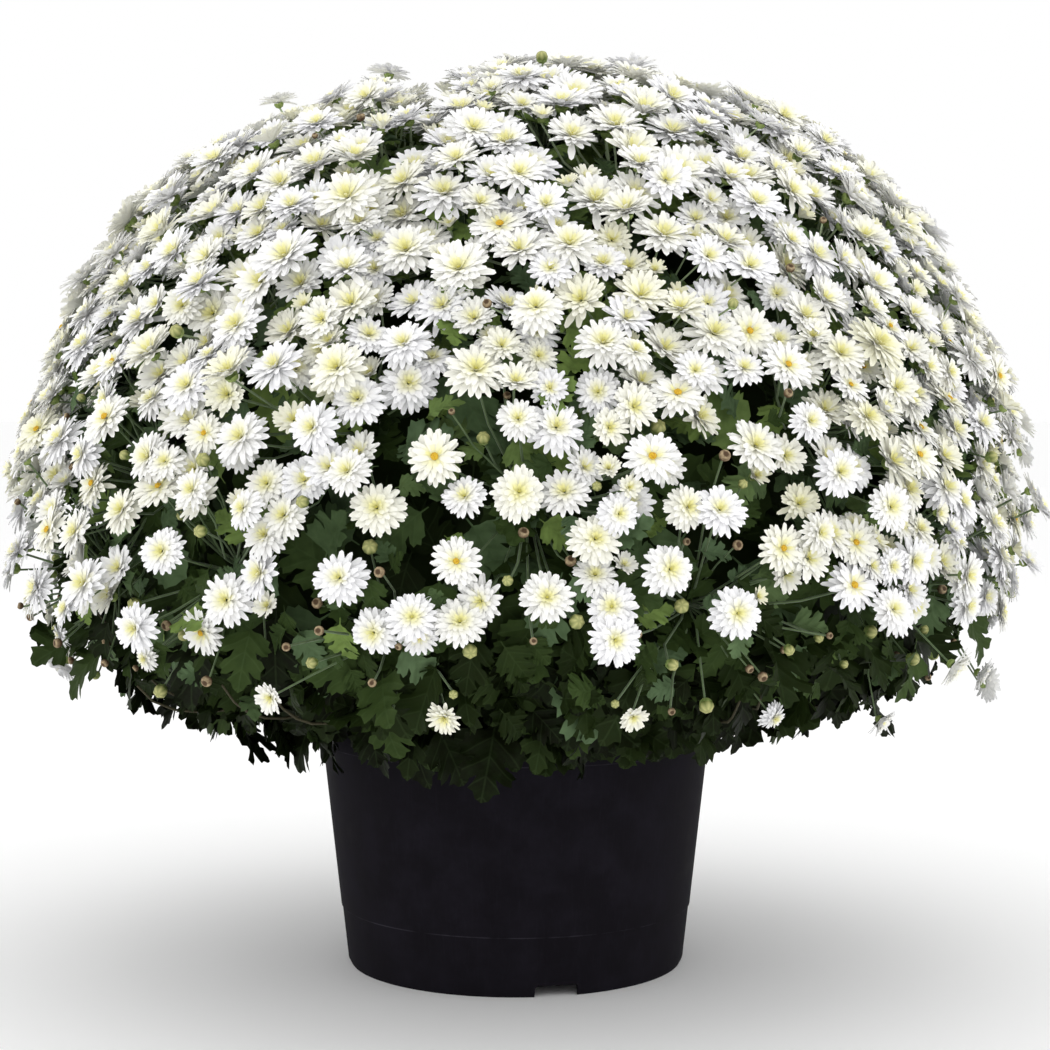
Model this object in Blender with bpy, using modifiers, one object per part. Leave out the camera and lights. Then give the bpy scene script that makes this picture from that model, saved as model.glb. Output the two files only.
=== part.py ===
"""Pot chrysanthemum: a ball-shaped white garden chrysanthemum in a squat black nursery pot.

Metres, +Z up. The origin is the centre of the pot's foot, on the surface that it stands on.
The pot holds the potting soil, the leafy bush stands in the soil on four woody stems, and the
flower sprays stand on the bush, each with a peduncle, its pedicels, its blooms and a bud.
"""

import cmath
import math
import random

import bmesh
import bpy
from mathutils import Matrix, Vector
from mathutils.bvhtree import BVHTree

# Pot: a twelve-inch squat nursery pot
POT_SIDES = 36
POT_HEIGHT = 0.1955
POT_WALL = 0.0022
RIM_RADIUS = 0.1545
RIM_BAND = 0.020
RIM_STEP = 0.0022
FOOT_RADIUS = 0.1330
FOOT_ROUNDING = 0.004
FOOT_BAND_TOP = 0.046
FOOT_BAND_STEP = 0.0008
FLOOR_HEIGHT = 0.0095
NOTCH_COUNT = 3
NOTCH_WIDTH = 0.033
NOTCH_HEIGHT = 0.0088
NOTCH_CUT_DEPTH = 0.06
FIRST_NOTCH_DEG = -76.6
DRAIN_COUNT = 4
DRAIN_RADIUS = 0.007
DRAIN_CIRCLE = 0.085
DRAIN_CUT_HEIGHT = 0.02
DRAIN_SIDES = 8

# Clearance between pieces that touch on the real thing
GAP = 0.0003

# Potting soil
SOIL_TOP = 0.174
SOIL_SIDES = 24
SOIL_MOUND = 0.006
MOUND_SHOULDER = 0.5
MOUND_SHOULDER_RISE = 0.8

# Foliage dome: the outer surface of the plant, a superellipsoid of revolution
DOME_CENTRE = Vector((0.0, 0.0, 0.335))
DOME_RADIUS = 0.387
DOME_RISE = 0.367
DOME_DROP = 0.215
SHOULDER_POWER = 2.25
UNDERSIDE_POWER = 2.0

# Relief of the dome, as a share of its size: broad waves, a furrow along a line of equal x, and
# a shoulder that has sunk a little on the left
WAVE_HEIGHT = 0.012
WAVES_ACROSS = 7.0
WAVES_DEEP = 6.0
WAVE_START_ACROSS = 0.8
WAVE_START_DEEP = 2.1
FURROW_PLACE = -0.175
FURROW_WIDTH = 0.05
FURROW_DEPTH = 0.06
SUNKEN_SHOULDER = 0.07

# Bush core, woody stems and leaves
CORE_SHARE = 0.75
CORE_FLOOR = 0.209
CORE_FLOOR_SLOPE = 0.02
CORE_SEGMENTS = 18
CORE_RINGS = 9
WOODY_STEMS = 4
WOODY_SIDES = 6
WOODY_RADIUS = 0.006
WOODY_CIRCLE = 0.045
WOODY_TURN = 0.35
WOODY_FOOT = 0.110
WOODY_TOP = 0.240
LEAF_TARGET = 110
LEAF_TRIES = 900
LEAF_LENGTH = (0.066, 0.088)
LEAF_LEAN = (0.5, 1.3)
LEAF_DROOP = (0.10, 0.30)
LEAF_FOLD = 0.25
LEAF_THICKNESS = 0.0024
LEAF_ROOT = 0.012
LEAF_SEED = 5
SKIRT_LEAVES = 26
SKIRT_TRIES = 18
SKIRT_CIRCLE = (0.178, 0.225)
SKIRT_SPREAD = (0.25, 0.9)
SKIRT_HANG = (0.35, 0.8)
SKIRT_DROOP = 0.12

# Half of the lobed leaf's outline, as shares of its length: along the midrib, and to the side
LEAF_HALF_OUTLINE = ((0.34, 0.30), (0.42, 0.15), (0.66, 0.37), (0.72, 0.16))

# Flower sprays: each has a peduncle that ends in a knot, from whose faces the pedicels grow
SPRAY_COUNT = 52
BLOOM_COUNT = 424
LOWEST_BLOOM = -0.36
LOWEST_SPRAY = -0.26
SPARSE_BELOW = -0.12
SPARSE_STEP = 4
REGROUPINGS = 8
BLOOM_SEED = 144
BLOOM_RADIUS = (0.0235, 0.0290)
BLOOM_RISE = (-0.012, 0.006)
BLOOM_WANDER = 0.014
BLOOM_LIFT = 0.38
BLOOM_TILT = 0.16
MOST_NOD = math.radians(50.0)
LARGE_BLOOM = 0.0272
CALYX_RADIUS = 0.0021
KNOT_RADIUS = 0.0040
KNOT_DEPTH = 0.054
SEAT_WIDENING = 1.9
BUD_RADIUS = 0.0055
BUD_REACH = (0.026, 0.036, 0.046)
BUD_TURN_STEP = 15

GOLDEN_ANGLE = math.pi * (3.0 - math.sqrt(5.0))
UP = Vector((0.0, 0.0, 1.0))


def crown_relief(direction):
    """Factor on the dome's size: the stems' crowns stand out, with a furrow between two of them."""
    across = math.sin(WAVES_ACROSS * direction.x + WAVE_START_ACROSS)
    deep = math.sin(WAVES_DEEP * direction.y + WAVE_START_DEEP)
    furrow = math.exp(-(((direction.x - FURROW_PLACE) / FURROW_WIDTH) ** 2))
    sunken = FURROW_DEPTH * furrow + SUNKEN_SHOULDER * max(-direction.x, 0.0)
    return 1.0 + WAVE_HEIGHT * across * deep - sunken * max(direction.z, 0.0)


def dome_reach(direction):
    """Distance from the dome's centre to its surface along a unit direction."""
    across = math.hypot(direction.x, direction.y) / DOME_RADIUS
    rises = direction.z >= 0.0
    power = SHOULDER_POWER if rises else UNDERSIDE_POWER
    along = abs(direction.z) / (DOME_RISE if rises else DOME_DROP)
    return crown_relief(direction) * (across**power + along**power) ** (-1.0 / power)


def dome_point(direction, share=1.0):
    return DOME_CENTRE + direction * dome_reach(direction) * share


def dome_normal(direction):
    """Outward normal of the dome where a ray from its centre leaves it."""
    power = SHOULDER_POWER if direction.z >= 0.0 else UNDERSIDE_POWER
    height = DOME_RISE if direction.z >= 0.0 else DOME_DROP
    across = math.hypot(direction.x, direction.y)
    flat = (across / DOME_RADIUS) ** (power - 1.0) / DOME_RADIUS
    steep = math.copysign((abs(direction.z) / height) ** (power - 1.0) / height, direction.z)
    side = Vector((direction.x, direction.y, 0.0)).normalized() * flat
    return (side + UP * steep).normalized()


def spread_directions(count, lowest):
    """Unit directions spread evenly, like seeds on a head, from straight up to a lowest height."""
    for i in range(count):
        z = 1.0 - (1.0 - lowest) * (i + 0.5) / count
        flat = math.sqrt(1.0 - z * z)
        turn = i * GOLDEN_ANGLE
        yield Vector((flat * math.cos(turn), flat * math.sin(turn), z))


def random_vector(rng):
    return Vector([rng.uniform(-1.0, 1.0) for _ in range(3)])


def frame_along(axis, roll, place):
    """Matrix whose +Z lies along axis, turned about it by roll, with its origin at place."""
    turned = axis.to_track_quat("Z", "Y").to_matrix().to_4x4()
    return Matrix.Translation(place) @ turned @ Matrix.Rotation(roll, 4, "Z")


def new_object(name, mesh, collection, material=None):
    made = bpy.data.objects.new(name, mesh)
    collection.objects.link(made)
    if material:
        mesh.materials.append(material)
    return made


def object_from_bmesh(name, bm, collection, material=None):
    bmesh.ops.recalc_face_normals(bm, faces=bm.faces)
    mesh = bpy.data.meshes.new(name)
    bm.to_mesh(mesh)
    bm.free()
    return new_object(name, mesh, collection, material)


def apply_modifiers(body):
    """Replaces the object's mesh by its evaluated one and drops its modifiers."""
    graph = bpy.context.evaluated_depsgraph_get()
    final = bpy.data.meshes.new_from_object(body.evaluated_get(graph))
    body.modifiers.clear()
    body.data = final


def join_all(body, repeats):
    """Unites every object of a collection with body, then removes the collection's objects."""
    union = body.modifiers.new("Union", "BOOLEAN")
    union.operation = "UNION"
    union.operand_type = "COLLECTION"
    union.collection = repeats
    union.solver = "EXACT"
    apply_modifiers(body)
    for repeat in list(repeats.objects):
        bpy.data.objects.remove(repeat)
    bpy.data.collections.remove(repeats)


def plain_material(name, colour, roughness):
    material = bpy.data.materials.new(name)
    material.use_nodes = True
    shader = material.node_tree.nodes["Principled BSDF"]
    shader.inputs["Base Color"].default_value = (*colour, 1.0)
    shader.inputs["Roughness"].default_value = roughness
    material.diffuse_color = (*colour, 1.0)
    return material


def wall_radius(height):
    """Outer radius of the pot's tapered wall, below the rim band."""
    under_rim = RIM_RADIUS - RIM_STEP
    share = height / (POT_HEIGHT - RIM_BAND)
    return FOOT_RADIUS + (under_rim - FOOT_RADIUS) * share


def pot_profile():
    """Half section of the pot from the middle of its floor, up the inside, over the rim and down."""
    rim_foot = POT_HEIGHT - RIM_BAND
    inner_floor = FLOOR_HEIGHT + POT_WALL
    foot_inside = FOOT_RADIUS - 2.0 * POT_WALL
    return [
        (0.0, inner_floor),
        (wall_radius(inner_floor) - POT_WALL, inner_floor),
        (RIM_RADIUS - RIM_STEP - POT_WALL, POT_HEIGHT),
        (RIM_RADIUS, POT_HEIGHT),
        (RIM_RADIUS, rim_foot),
        (wall_radius(rim_foot), rim_foot),
        (wall_radius(FOOT_BAND_TOP), FOOT_BAND_TOP),
        (wall_radius(FOOT_BAND_TOP) - FOOT_BAND_STEP, FOOT_BAND_TOP),
        (wall_radius(FOOT_ROUNDING) - FOOT_BAND_STEP, FOOT_ROUNDING),
        (FOOT_RADIUS - FOOT_BAND_STEP - 0.4 * FOOT_ROUNDING, 0.0),
        (foot_inside, 0.0),
        (foot_inside, FLOOR_HEIGHT),
        (0.0, FLOOR_HEIGHT),
    ]


def turned(name, profile, sides, collection, material):
    """Solid of revolution: the profile's points are spun round the Z axis by a Screw modifier."""
    bm = bmesh.new()
    points = [bm.verts.new((radius, 0.0, height)) for radius, height in profile]
    for start, end in zip(points, points[1:]):
        bm.edges.new((start, end))
    mesh = bpy.data.meshes.new(name)
    bm.to_mesh(mesh)
    bm.free()
    body = new_object(name, mesh, collection, material)
    screw = body.modifiers.new("Screw", "SCREW")
    screw.axis = "Z"
    screw.steps = sides
    screw.render_steps = sides
    screw.use_merge_vertices = True
    screw.merge_threshold = 0.0001
    return body


def cut(body, cutter):
    difference = body.modifiers.new("Cut", "BOOLEAN")
    difference.operation = "DIFFERENCE"
    difference.object = cutter
    cutter.hide_render = True
    cutter.display_type = "WIRE"


def cylinder(name, radius, low, high, place, collection, sides):
    """Upright cylinder between two heights, standing at place in plan."""
    bm = bmesh.new()
    bmesh.ops.create_cone(
        bm,
        cap_ends=True,
        segments=sides,
        radius1=radius,
        radius2=radius,
        depth=high - low,
        matrix=Matrix.Translation((place[0], place[1], 0.5 * (low + high))),
    )
    return object_from_bmesh(name, bm, collection)


def make_pot(collection, cutters, material):
    pot = turned("pot", pot_profile(), POT_SIDES, collection, material)
    for k in range(NOTCH_COUNT):
        turn = math.radians(FIRST_NOTCH_DEG + 360.0 * k / NOTCH_COUNT)
        bm = bmesh.new()
        size = Matrix.Diagonal((NOTCH_CUT_DEPTH, NOTCH_WIDTH, 2.0 * NOTCH_HEIGHT, 1.0))
        place = Matrix.Rotation(turn, 4, "Z") @ Matrix.Translation((FOOT_RADIUS, 0.0, 0.0))
        bmesh.ops.create_cube(bm, size=1.0, matrix=place @ size)
        cut(pot, object_from_bmesh(f"notch_cutter_{k}", bm, cutters))
    for k in range(DRAIN_COUNT):
        turn = 2.0 * math.pi * (k + 0.5) / DRAIN_COUNT
        place = (DRAIN_CIRCLE * math.cos(turn), DRAIN_CIRCLE * math.sin(turn))
        name = f"drain_cutter_{k}"
        cut(pot, cylinder(name, DRAIN_RADIUS, 0.0, DRAIN_CUT_HEIGHT, place, cutters, DRAIN_SIDES))
    return pot


def woody_stem_places():
    for k in range(WOODY_STEMS):
        turn = 2.0 * math.pi * (k + WOODY_TURN) / WOODY_STEMS
        yield WOODY_CIRCLE * math.cos(turn), WOODY_CIRCLE * math.sin(turn)


def make_soil(collection, cutters, material):
    """Rooted soil that fills the pot, a little mounded, with a plain hole for each woody stem."""
    low = FLOOR_HEIGHT + POT_WALL + GAP

    def inside(height):
        """Radius just clear of the pot's inner wall, which runs straight from floor to rim."""
        floor = FLOOR_HEIGHT + POT_WALL
        share = (height - floor) / (POT_HEIGHT - floor)
        bottom = wall_radius(floor) - POT_WALL
        return bottom + (RIM_RADIUS - RIM_STEP - POT_WALL - bottom) * share - 2.0 * GAP

    profile = [
        (0.0, SOIL_TOP + SOIL_MOUND),
        (MOUND_SHOULDER * inside(SOIL_TOP), SOIL_TOP + MOUND_SHOULDER_RISE * SOIL_MOUND),
        (inside(SOIL_TOP), SOIL_TOP),
        (inside(low), low),
        (0.0, low),
    ]
    soil = turned("potting_soil", profile, SOIL_SIDES, collection, material)
    for k, place in enumerate(woody_stem_places()):
        hole = WOODY_RADIUS + GAP
        low_end = WOODY_FOOT - GAP
        cut(soil, cylinder(f"stem_hole_{k}", hole, low_end, POT_HEIGHT, place, cutters, WOODY_SIDES))
    return soil


def make_core(collection, material):
    """Close mass of inner leaves and twigs, from a sphere whose points are moved to the dome."""
    bm = bmesh.new()
    bmesh.ops.create_uvsphere(bm, u_segments=CORE_SEGMENTS, v_segments=CORE_RINGS, radius=1.0)
    for vertex in bm.verts:
        vertex.co = dome_point(vertex.co.normalized(), CORE_SHARE)
        vertex.co.z = max(vertex.co.z, CORE_FLOOR + CORE_FLOOR_SLOPE * vertex.co.xy.length)
    bmesh.ops.dissolve_degenerate(bm, dist=0.001, edges=bm.edges)
    bmesh.ops.triangulate(bm, faces=bm.faces)
    return object_from_bmesh("leafy_bush", bm, collection, material)


def surface_tree(body):
    """Tree of the faces of an object that stands at the origin, for overlap tests and rays."""
    bm = bmesh.new()
    bm.from_mesh(body.data)
    tree = BVHTree.FromBMesh(bm)
    bm.free()
    return tree


class Bloom:
    """Place, facing and size of one flower head."""

    def __init__(self, direction, rng):
        self.radius = rng.uniform(*BLOOM_RADIUS)
        direction = (direction + BLOOM_WANDER * random_vector(rng)).normalized()
        normal = dome_normal(direction)
        tilt = BLOOM_TILT * random_vector(rng)
        self.facing = (normal + BLOOM_LIFT * UP + tilt).normalized()
        self.place = dome_point(direction) + normal * rng.uniform(*BLOOM_RISE)

    @property
    def outward(self):
        return (self.place - DOME_CENTRE).normalized()

    @property
    def head(self):
        return LARGE_HEAD if self.radius > LARGE_BLOOM else SMALL_HEAD


def plan_blooms():
    """Blooms spread over the dome, fewer below, and each no wider than its neighbours allow."""
    rng = random.Random(BLOOM_SEED)
    planned = []
    for i, direction in enumerate(spread_directions(BLOOM_COUNT, LOWEST_BLOOM)):
        bloom = Bloom(direction, rng)
        if direction.z > SPARSE_BELOW or i % SPARSE_STEP == 0:
            planned.append(bloom)
    for bloom in planned:
        nearest = min((bloom.place - other.place).length for other in planned if other is not bloom)
        bloom.radius = min(bloom.radius, 0.5 * nearest - GAP)
    return planned


def nearest_groups(blooms, middles):
    groups = [[] for _ in middles]
    for bloom in blooms:
        nearest = max(range(len(middles)), key=lambda k: bloom.outward.dot(middles[k]))
        groups[nearest].append(bloom)
    return [group for group in groups if group]


def group_into_sprays(blooms):
    """Each bloom joins the nearest spray, and each spray then moves to the middle of its blooms."""
    groups = nearest_groups(blooms, list(spread_directions(SPRAY_COUNT, LOWEST_SPRAY)))
    for _ in range(REGROUPINGS):
        middles = [sum((b.outward for b in group), Vector()).normalized() for group in groups]
        groups = nearest_groups(blooms, middles)
    return groups


class Head:
    """Proportions of a flower head, as shares of its radius.

    The rim runs in turn through the tips and the notches between them, and closes on the eye.
    """

    def __init__(self, tips, tip_height, notch_radius, notch_height, eye_height, calyx_height):
        self.tips = tips
        self.tip_height = tip_height
        self.notch_radius = notch_radius
        self.notch_height = notch_height
        self.eye_height = eye_height
        self.calyx_height = calyx_height


LARGE_HEAD = Head(6, -0.06, 0.80, 0.18, 0.16, -0.34)
SMALL_HEAD = Head(5, -0.04, 0.78, 0.20, 0.18, -0.36)
BUD_HEAD = Head(3, 0.0, 1.0, 0.0, 0.85, -0.80)


def matching_roll(axis, corners, root):
    """Turn about an axis that lines a ring of points up with the corners round their middle."""
    plain = frame_along(axis, 0.0, Vector()).to_3x3().transposed()
    total = 0j
    for k, corner in enumerate(corners):
        across = plain @ (corner.co - root)
        total += complex(across.x, across.y) * cmath.rect(1.0, -2.0 * math.pi * k / len(corners))
    return cmath.phase(total)


def grow_head(bm, face, place, facing, radius, head):
    """Replaces a face of the knot with a pedicel that opens through its calyx to the petals."""
    stalk = list(face.verts)
    root = face.calc_center_median()
    bm.faces.remove(face)
    matrix = frame_along(facing, matching_roll(facing, stalk, root), place)

    def ring(sizes):
        points = []
        for k, (out, height) in enumerate(sizes):
            turn = 2.0 * math.pi * k / len(sizes)
            point = Vector((out * math.cos(turn), out * math.sin(turn), height))
            points.append(bm.verts.new(matrix @ point))
        return points

    tip = (radius, radius * head.tip_height)
    notch = (radius * head.notch_radius, radius * head.notch_height)
    calyx = ring([(CALYX_RADIUS, radius * head.calyx_height)] * 3)
    rim = ring([tip, notch] * head.tips)
    eye = bm.verts.new(matrix @ Vector((0.0, 0.0, radius * head.eye_height)))
    for k in range(3):
        after = (k + 1) % 3
        bm.faces.new((stalk[k], stalk[after], calyx[after], calyx[k]))
    points = len(rim)
    for k in range(points):
        after = (k + 1) % points
        under = calyx[3 * k // points]
        next_under = calyx[3 * (k + 1) // points % 3]
        bm.faces.new((under, rim[after], rim[k]))
        bm.faces.new((eye, rim[k], rim[after]))
        if next_under is not under:
            bm.faces.new((under, next_under, rim[after]))


def make_knot(bm, top, foot, foot_normal):
    """Twenty-faced knot whose lowest face is drawn out down to a seat on the core."""
    lean = (top - foot).normalized()
    bmesh.ops.create_icosphere(bm, subdivisions=1, radius=KNOT_RADIUS)
    bm.faces.ensure_lookup_table()
    first = bm.faces[0]
    upright = first.normal.rotation_difference(-lean).to_matrix().to_4x4()
    bmesh.ops.transform(bm, matrix=Matrix.Translation(top) @ upright, verts=bm.verts)
    seat = bmesh.ops.extrude_discrete_faces(bm, faces=[first])["faces"][0]
    for vertex in seat.verts:
        vertex.co = top + (vertex.co - top) * SEAT_WIDENING
        rise = (vertex.co - foot).dot(foot_normal) - GAP
        vertex.co -= lean * rise / lean.dot(foot_normal)
    bm.normal_update()
    return [face for face in bm.faces if len(face.verts) == 3 and face is not seat]


def pair_up(directions, faces):
    """Gives every direction a face of its own, and swaps faces while that brings them closer."""
    faces = list(faces)
    count = len(directions)
    better = True
    while better:
        better = False
        for i in range(count):
            for k in range(i + 1, len(faces)):
                gain = directions[i].dot(faces[k].normal - faces[i].normal)
                if k < count:
                    gain += directions[k].dot(faces[i].normal - faces[k].normal)
                if gain > 1e-6:
                    faces[i], faces[k] = faces[k], faces[i]
                    better = True
    return faces[:count]


def eased(facing, lean):
    """The facing, turned towards its pedicel where it would bend back over it."""
    turn = facing.angle(lean)
    if turn <= MOST_NOD:
        return facing
    return lean.slerp(facing, MOST_NOD / turn)


def widest_gap(top, outward, blooms):
    """Place for a bud: where the spray's reach leaves the most room between the blooms."""
    height = KNOT_DEPTH - BUD_RADIUS
    places = [
        frame_along(outward, math.radians(turn), top) @ Vector((reach, 0.0, height))
        for reach in BUD_REACH
        for turn in range(0, 360, BUD_TURN_STEP)
    ]

    def room(place):
        return min((place - bloom.place).length - bloom.radius for bloom in blooms)

    return max(places, key=room)


def make_spray(index, blooms, all_blooms, core_tree, collection, material):
    """Peduncle on the core, its knot, and a pedicel with a head for each bloom and bud."""
    outward = sum((bloom.outward for bloom in blooms), Vector()).normalized()
    top = dome_point(outward) - outward * KNOT_DEPTH
    foot, foot_normal, _, _ = core_tree.ray_cast(top, -outward)
    bm = bmesh.new()
    faces = make_knot(bm, top, foot, foot_normal)
    heads = [(bloom.place, bloom.facing, bloom.radius, bloom.head) for bloom in blooms]
    if index % 2 == 0:
        bud_place = widest_gap(top, outward, all_blooms)
        heads.append((bud_place, outward, BUD_RADIUS, BUD_HEAD))
    directions = [
        (place + facing * radius * head.calyx_height - top).normalized()
        for place, facing, radius, head in heads
    ]
    for face, (place, facing, radius, head) in zip(pair_up(directions, faces), heads):
        grow_head(bm, face, place, eased(facing, (place - top).normalized()), radius, head)
    return object_from_bmesh(f"flower_spray_{index + 1:02d}", bm, collection, material)


def leaf_mesh(name, matrix, length, droop, collection):
    """Lobed leaf: a flat double cone whose rim is moved to the leaf's outline and arched.

    The leaf's root is at the matrix's origin, its midrib runs along +Z and its face along +X.
    """
    mirrored = [(along, -side) for along, side in reversed(LEAF_HALF_OUTLINE)]
    outline = [(0.0, 0.0), *LEAF_HALF_OUTLINE, (1.0, 0.0), *mirrored]
    bm = bmesh.new()
    bmesh.ops.create_uvsphere(bm, u_segments=len(outline), v_segments=2, radius=1.0)
    bm.verts.ensure_lookup_table()
    rim = [vertex for vertex in bm.verts if abs(vertex.co.z) < 0.5]
    rim.sort(key=lambda vertex: math.atan2(vertex.co.y, vertex.co.x) % (2.0 * math.pi))
    poles = [vertex for vertex in bm.verts if abs(vertex.co.z) >= 0.5]

    def placed(along, side, lift):
        arch = droop * along * along - LEAF_FOLD * abs(side)
        return Vector((lift - length * arch, side * length, along * length))

    for vertex in poles:
        vertex.co = placed(0.5, 0.0, math.copysign(0.5 * LEAF_THICKNESS, vertex.co.z))
    for vertex, (along, side) in zip(rim, outline):
        vertex.co = placed(along, side, 0.0)
    bmesh.ops.transform(bm, matrix=matrix, verts=bm.verts)
    return object_from_bmesh(name, bm, collection)


def leaf_frame(root, axis, face):
    """Matrix at root with +Z along axis and +X turned as near to face as it can be."""
    side = axis.cross(face).normalized()
    front = side.cross(axis).normalized()
    turned = Matrix((front, side, axis)).transposed().to_4x4()
    return Matrix.Translation(root) @ turned


def hits_any(candidate, trees):
    tree = surface_tree(candidate)
    return any(tree.overlap(other) for other in trees), tree


def grow_leaves(repeats, core_tree, obstacles):
    """Leaves that stand out of the core between the sprays, wherever one has room."""
    rng = random.Random(LEAF_SEED)
    taken = list(obstacles)
    grown = 0
    tries = list(spread_directions(LEAF_TRIES, LOWEST_BLOOM))
    rng.shuffle(tries)
    for direction in tries:
        if grown >= LEAF_TARGET:
            break
        place, normal, _, _ = core_tree.ray_cast(dome_point(direction), -direction)
        lean = random_vector(rng).cross(direction).normalized()
        axis = (direction + rng.uniform(*LEAF_LEAN) * lean).normalized()
        matrix = leaf_frame(place - normal * LEAF_ROOT, axis, direction)
        length = rng.uniform(*LEAF_LENGTH)
        leaf = leaf_mesh(f"leaf_{grown}", matrix, length, rng.uniform(*LEAF_DROOP), repeats)
        blocked, tree = hits_any(leaf, taken)
        if blocked:
            bpy.data.objects.remove(leaf)
            continue
        taken.append(tree)
        grown += 1
    return taken


def grow_skirt(repeats, core_tree, taken):
    """Leaves that hang from the underside of the bush, outside the pot's rim."""
    rng = random.Random(LEAF_SEED + 1)
    for k in range(SKIRT_LEAVES):
        for _ in range(SKIRT_TRIES):
            turn = 2.0 * math.pi * (k + rng.uniform(-0.3, 0.3)) / SKIRT_LEAVES
            outward = Vector((math.cos(turn), math.sin(turn), 0.0))
            place, _, _, _ = core_tree.ray_cast(outward * rng.uniform(*SKIRT_CIRCLE), UP)
            spread = outward * rng.uniform(*SKIRT_SPREAD)
            axis = (spread - UP * rng.uniform(*SKIRT_HANG)).normalized()
            matrix = leaf_frame(place + UP * LEAF_ROOT, axis, outward)
            length = rng.uniform(*LEAF_LENGTH)
            leaf = leaf_mesh(f"skirt_leaf_{k}", matrix, length, SKIRT_DROOP, repeats)
            blocked, tree = hits_any(leaf, taken)
            if not blocked:
                taken.append(tree)
                break
            bpy.data.objects.remove(leaf)


def make_bush(core, core_tree, obstacles):
    """Joins the woody stems and the leaves to the core."""
    repeats = bpy.data.collections.new("bush_repeats")
    bpy.context.scene.collection.children.link(repeats)
    for k, place in enumerate(woody_stem_places()):
        name = f"woody_stem_{k}"
        cylinder(name, WOODY_RADIUS, WOODY_FOOT, WOODY_TOP, place, repeats, WOODY_SIDES)
    taken = grow_leaves(repeats, core_tree, obstacles)
    grow_skirt(repeats, core_tree, taken)
    join_all(core, repeats)
    return core


def main():
    for old in list(bpy.data.objects):
        bpy.data.objects.remove(old)
    plant = bpy.data.collections.new("pot_chrysanthemum")
    cutters = bpy.data.collections.new("cutters")
    bpy.context.scene.collection.children.link(plant)
    bpy.context.scene.collection.children.link(cutters)

    black_plastic = plain_material("black_plastic", (0.012, 0.011, 0.015), 0.5)
    peat = plain_material("peat", (0.035, 0.022, 0.014), 0.95)
    leaf_green = plain_material("leaf_green", (0.035, 0.090, 0.022), 0.55)
    petal_white = plain_material("petal_white", (0.86, 0.86, 0.80), 0.6)

    pot = make_pot(plant, cutters, black_plastic)
    make_soil(plant, cutters, peat)
    core = make_core(plant, leaf_green)
    core_tree = surface_tree(core)
    blooms = plan_blooms()
    sprays = [
        make_spray(index, group, blooms, core_tree, plant, petal_white)
        for index, group in enumerate(group_into_sprays(blooms))
    ]
    bpy.context.view_layer.update()
    graph = bpy.context.evaluated_depsgraph_get()
    pot_tree = BVHTree.FromObject(pot, graph)
    make_bush(core, core_tree, [pot_tree, *map(surface_tree, sprays)])


main()
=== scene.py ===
"""Looks of the pot chrysanthemum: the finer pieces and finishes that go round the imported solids.

Metres, +Z up, in the solids' own frame. Petals, leaves, buds and stalks are each modelled once, by
hand, and copied. Every flower spray keeps the places that the solids give its blooms.
"""

import math
import random
from collections import namedtuple

import bmesh
import bpy
from mathutils import Matrix, Vector, noise
from mathutils.bvhtree import BVHTree


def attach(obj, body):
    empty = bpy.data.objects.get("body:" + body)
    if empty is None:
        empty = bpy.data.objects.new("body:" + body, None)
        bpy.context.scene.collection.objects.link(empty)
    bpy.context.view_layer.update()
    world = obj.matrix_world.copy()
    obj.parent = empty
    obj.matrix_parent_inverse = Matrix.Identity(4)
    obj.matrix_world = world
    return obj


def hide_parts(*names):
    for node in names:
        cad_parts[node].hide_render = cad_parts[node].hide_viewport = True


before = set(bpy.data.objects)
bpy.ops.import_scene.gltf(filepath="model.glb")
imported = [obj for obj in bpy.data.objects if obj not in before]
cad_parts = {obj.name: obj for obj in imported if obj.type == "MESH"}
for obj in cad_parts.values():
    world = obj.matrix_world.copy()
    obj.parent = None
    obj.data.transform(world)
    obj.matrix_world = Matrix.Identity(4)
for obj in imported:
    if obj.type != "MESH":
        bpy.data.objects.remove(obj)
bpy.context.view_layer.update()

GOLDEN_ANGLE = math.pi * (3.0 - math.sqrt(5.0))
UP = Vector((0.0, 0.0, 1.0))
ORIGIN = (0.0, 0.0, 0.0)
ANY_TURN = (0.0, 6.28)

# Camera of the photograph: a square picture, whose lens is given for the 36 mm film width
CAMERA_PLACE = Vector((0.0, -1.89, 0.452))
CAMERA_LENS = 82.3
CAMERA_FILM = 36.0
CAMERA_PITCH_DEG = -3.27
CAMERA_YAW_DEG = -0.227

# Soft lights, all facing the plant: place, size in metres and power in watts
LIGHTS = {
    "key": ((-0.5, -2.7, 1.2), 1.8, 4.0),
    "left": ((-2.4, -0.9, 1.0), 2.0, 8.0),
    "right": ((2.4, -0.9, 1.0), 2.0, 10.0),
    "top": ((0.2, -0.4, 3.0), 2.6, 9.5),
}

# Pot, as in the solids' source
POT_SIDES = 128
POT_HEIGHT = 0.1955
POT_WALL = 0.0022
RIM_RADIUS = 0.1545
RIM_BAND = 0.020
RIM_STEP = 0.0022
FOOT_RADIUS = 0.1330
FOOT_ROUNDING = 0.004
FOOT_BAND_TOP = 0.046
FOOT_BAND_STEP = 0.0008
FLOOR_HEIGHT = 0.0095
NOTCH_COUNT = 3
NOTCH_WIDTH = 0.033
NOTCH_HEIGHT = 0.0088
NOTCH_ROUNDING = 0.003
FIRST_NOTCH_DEG = -76.6
DRAIN_COUNT = 4
DRAIN_RADIUS = 0.007
DRAIN_CIRCLE = 0.085
CUTTER_DEPTH = (0.06, 0.03)
EDGE_ROUNDING = 0.0005
SHARP_DEG = 35.0
# Half width of the pale line painted along each mould step, a painted highlight
STEP_HIGHLIGHT_WIDTH = 0.0005

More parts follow.
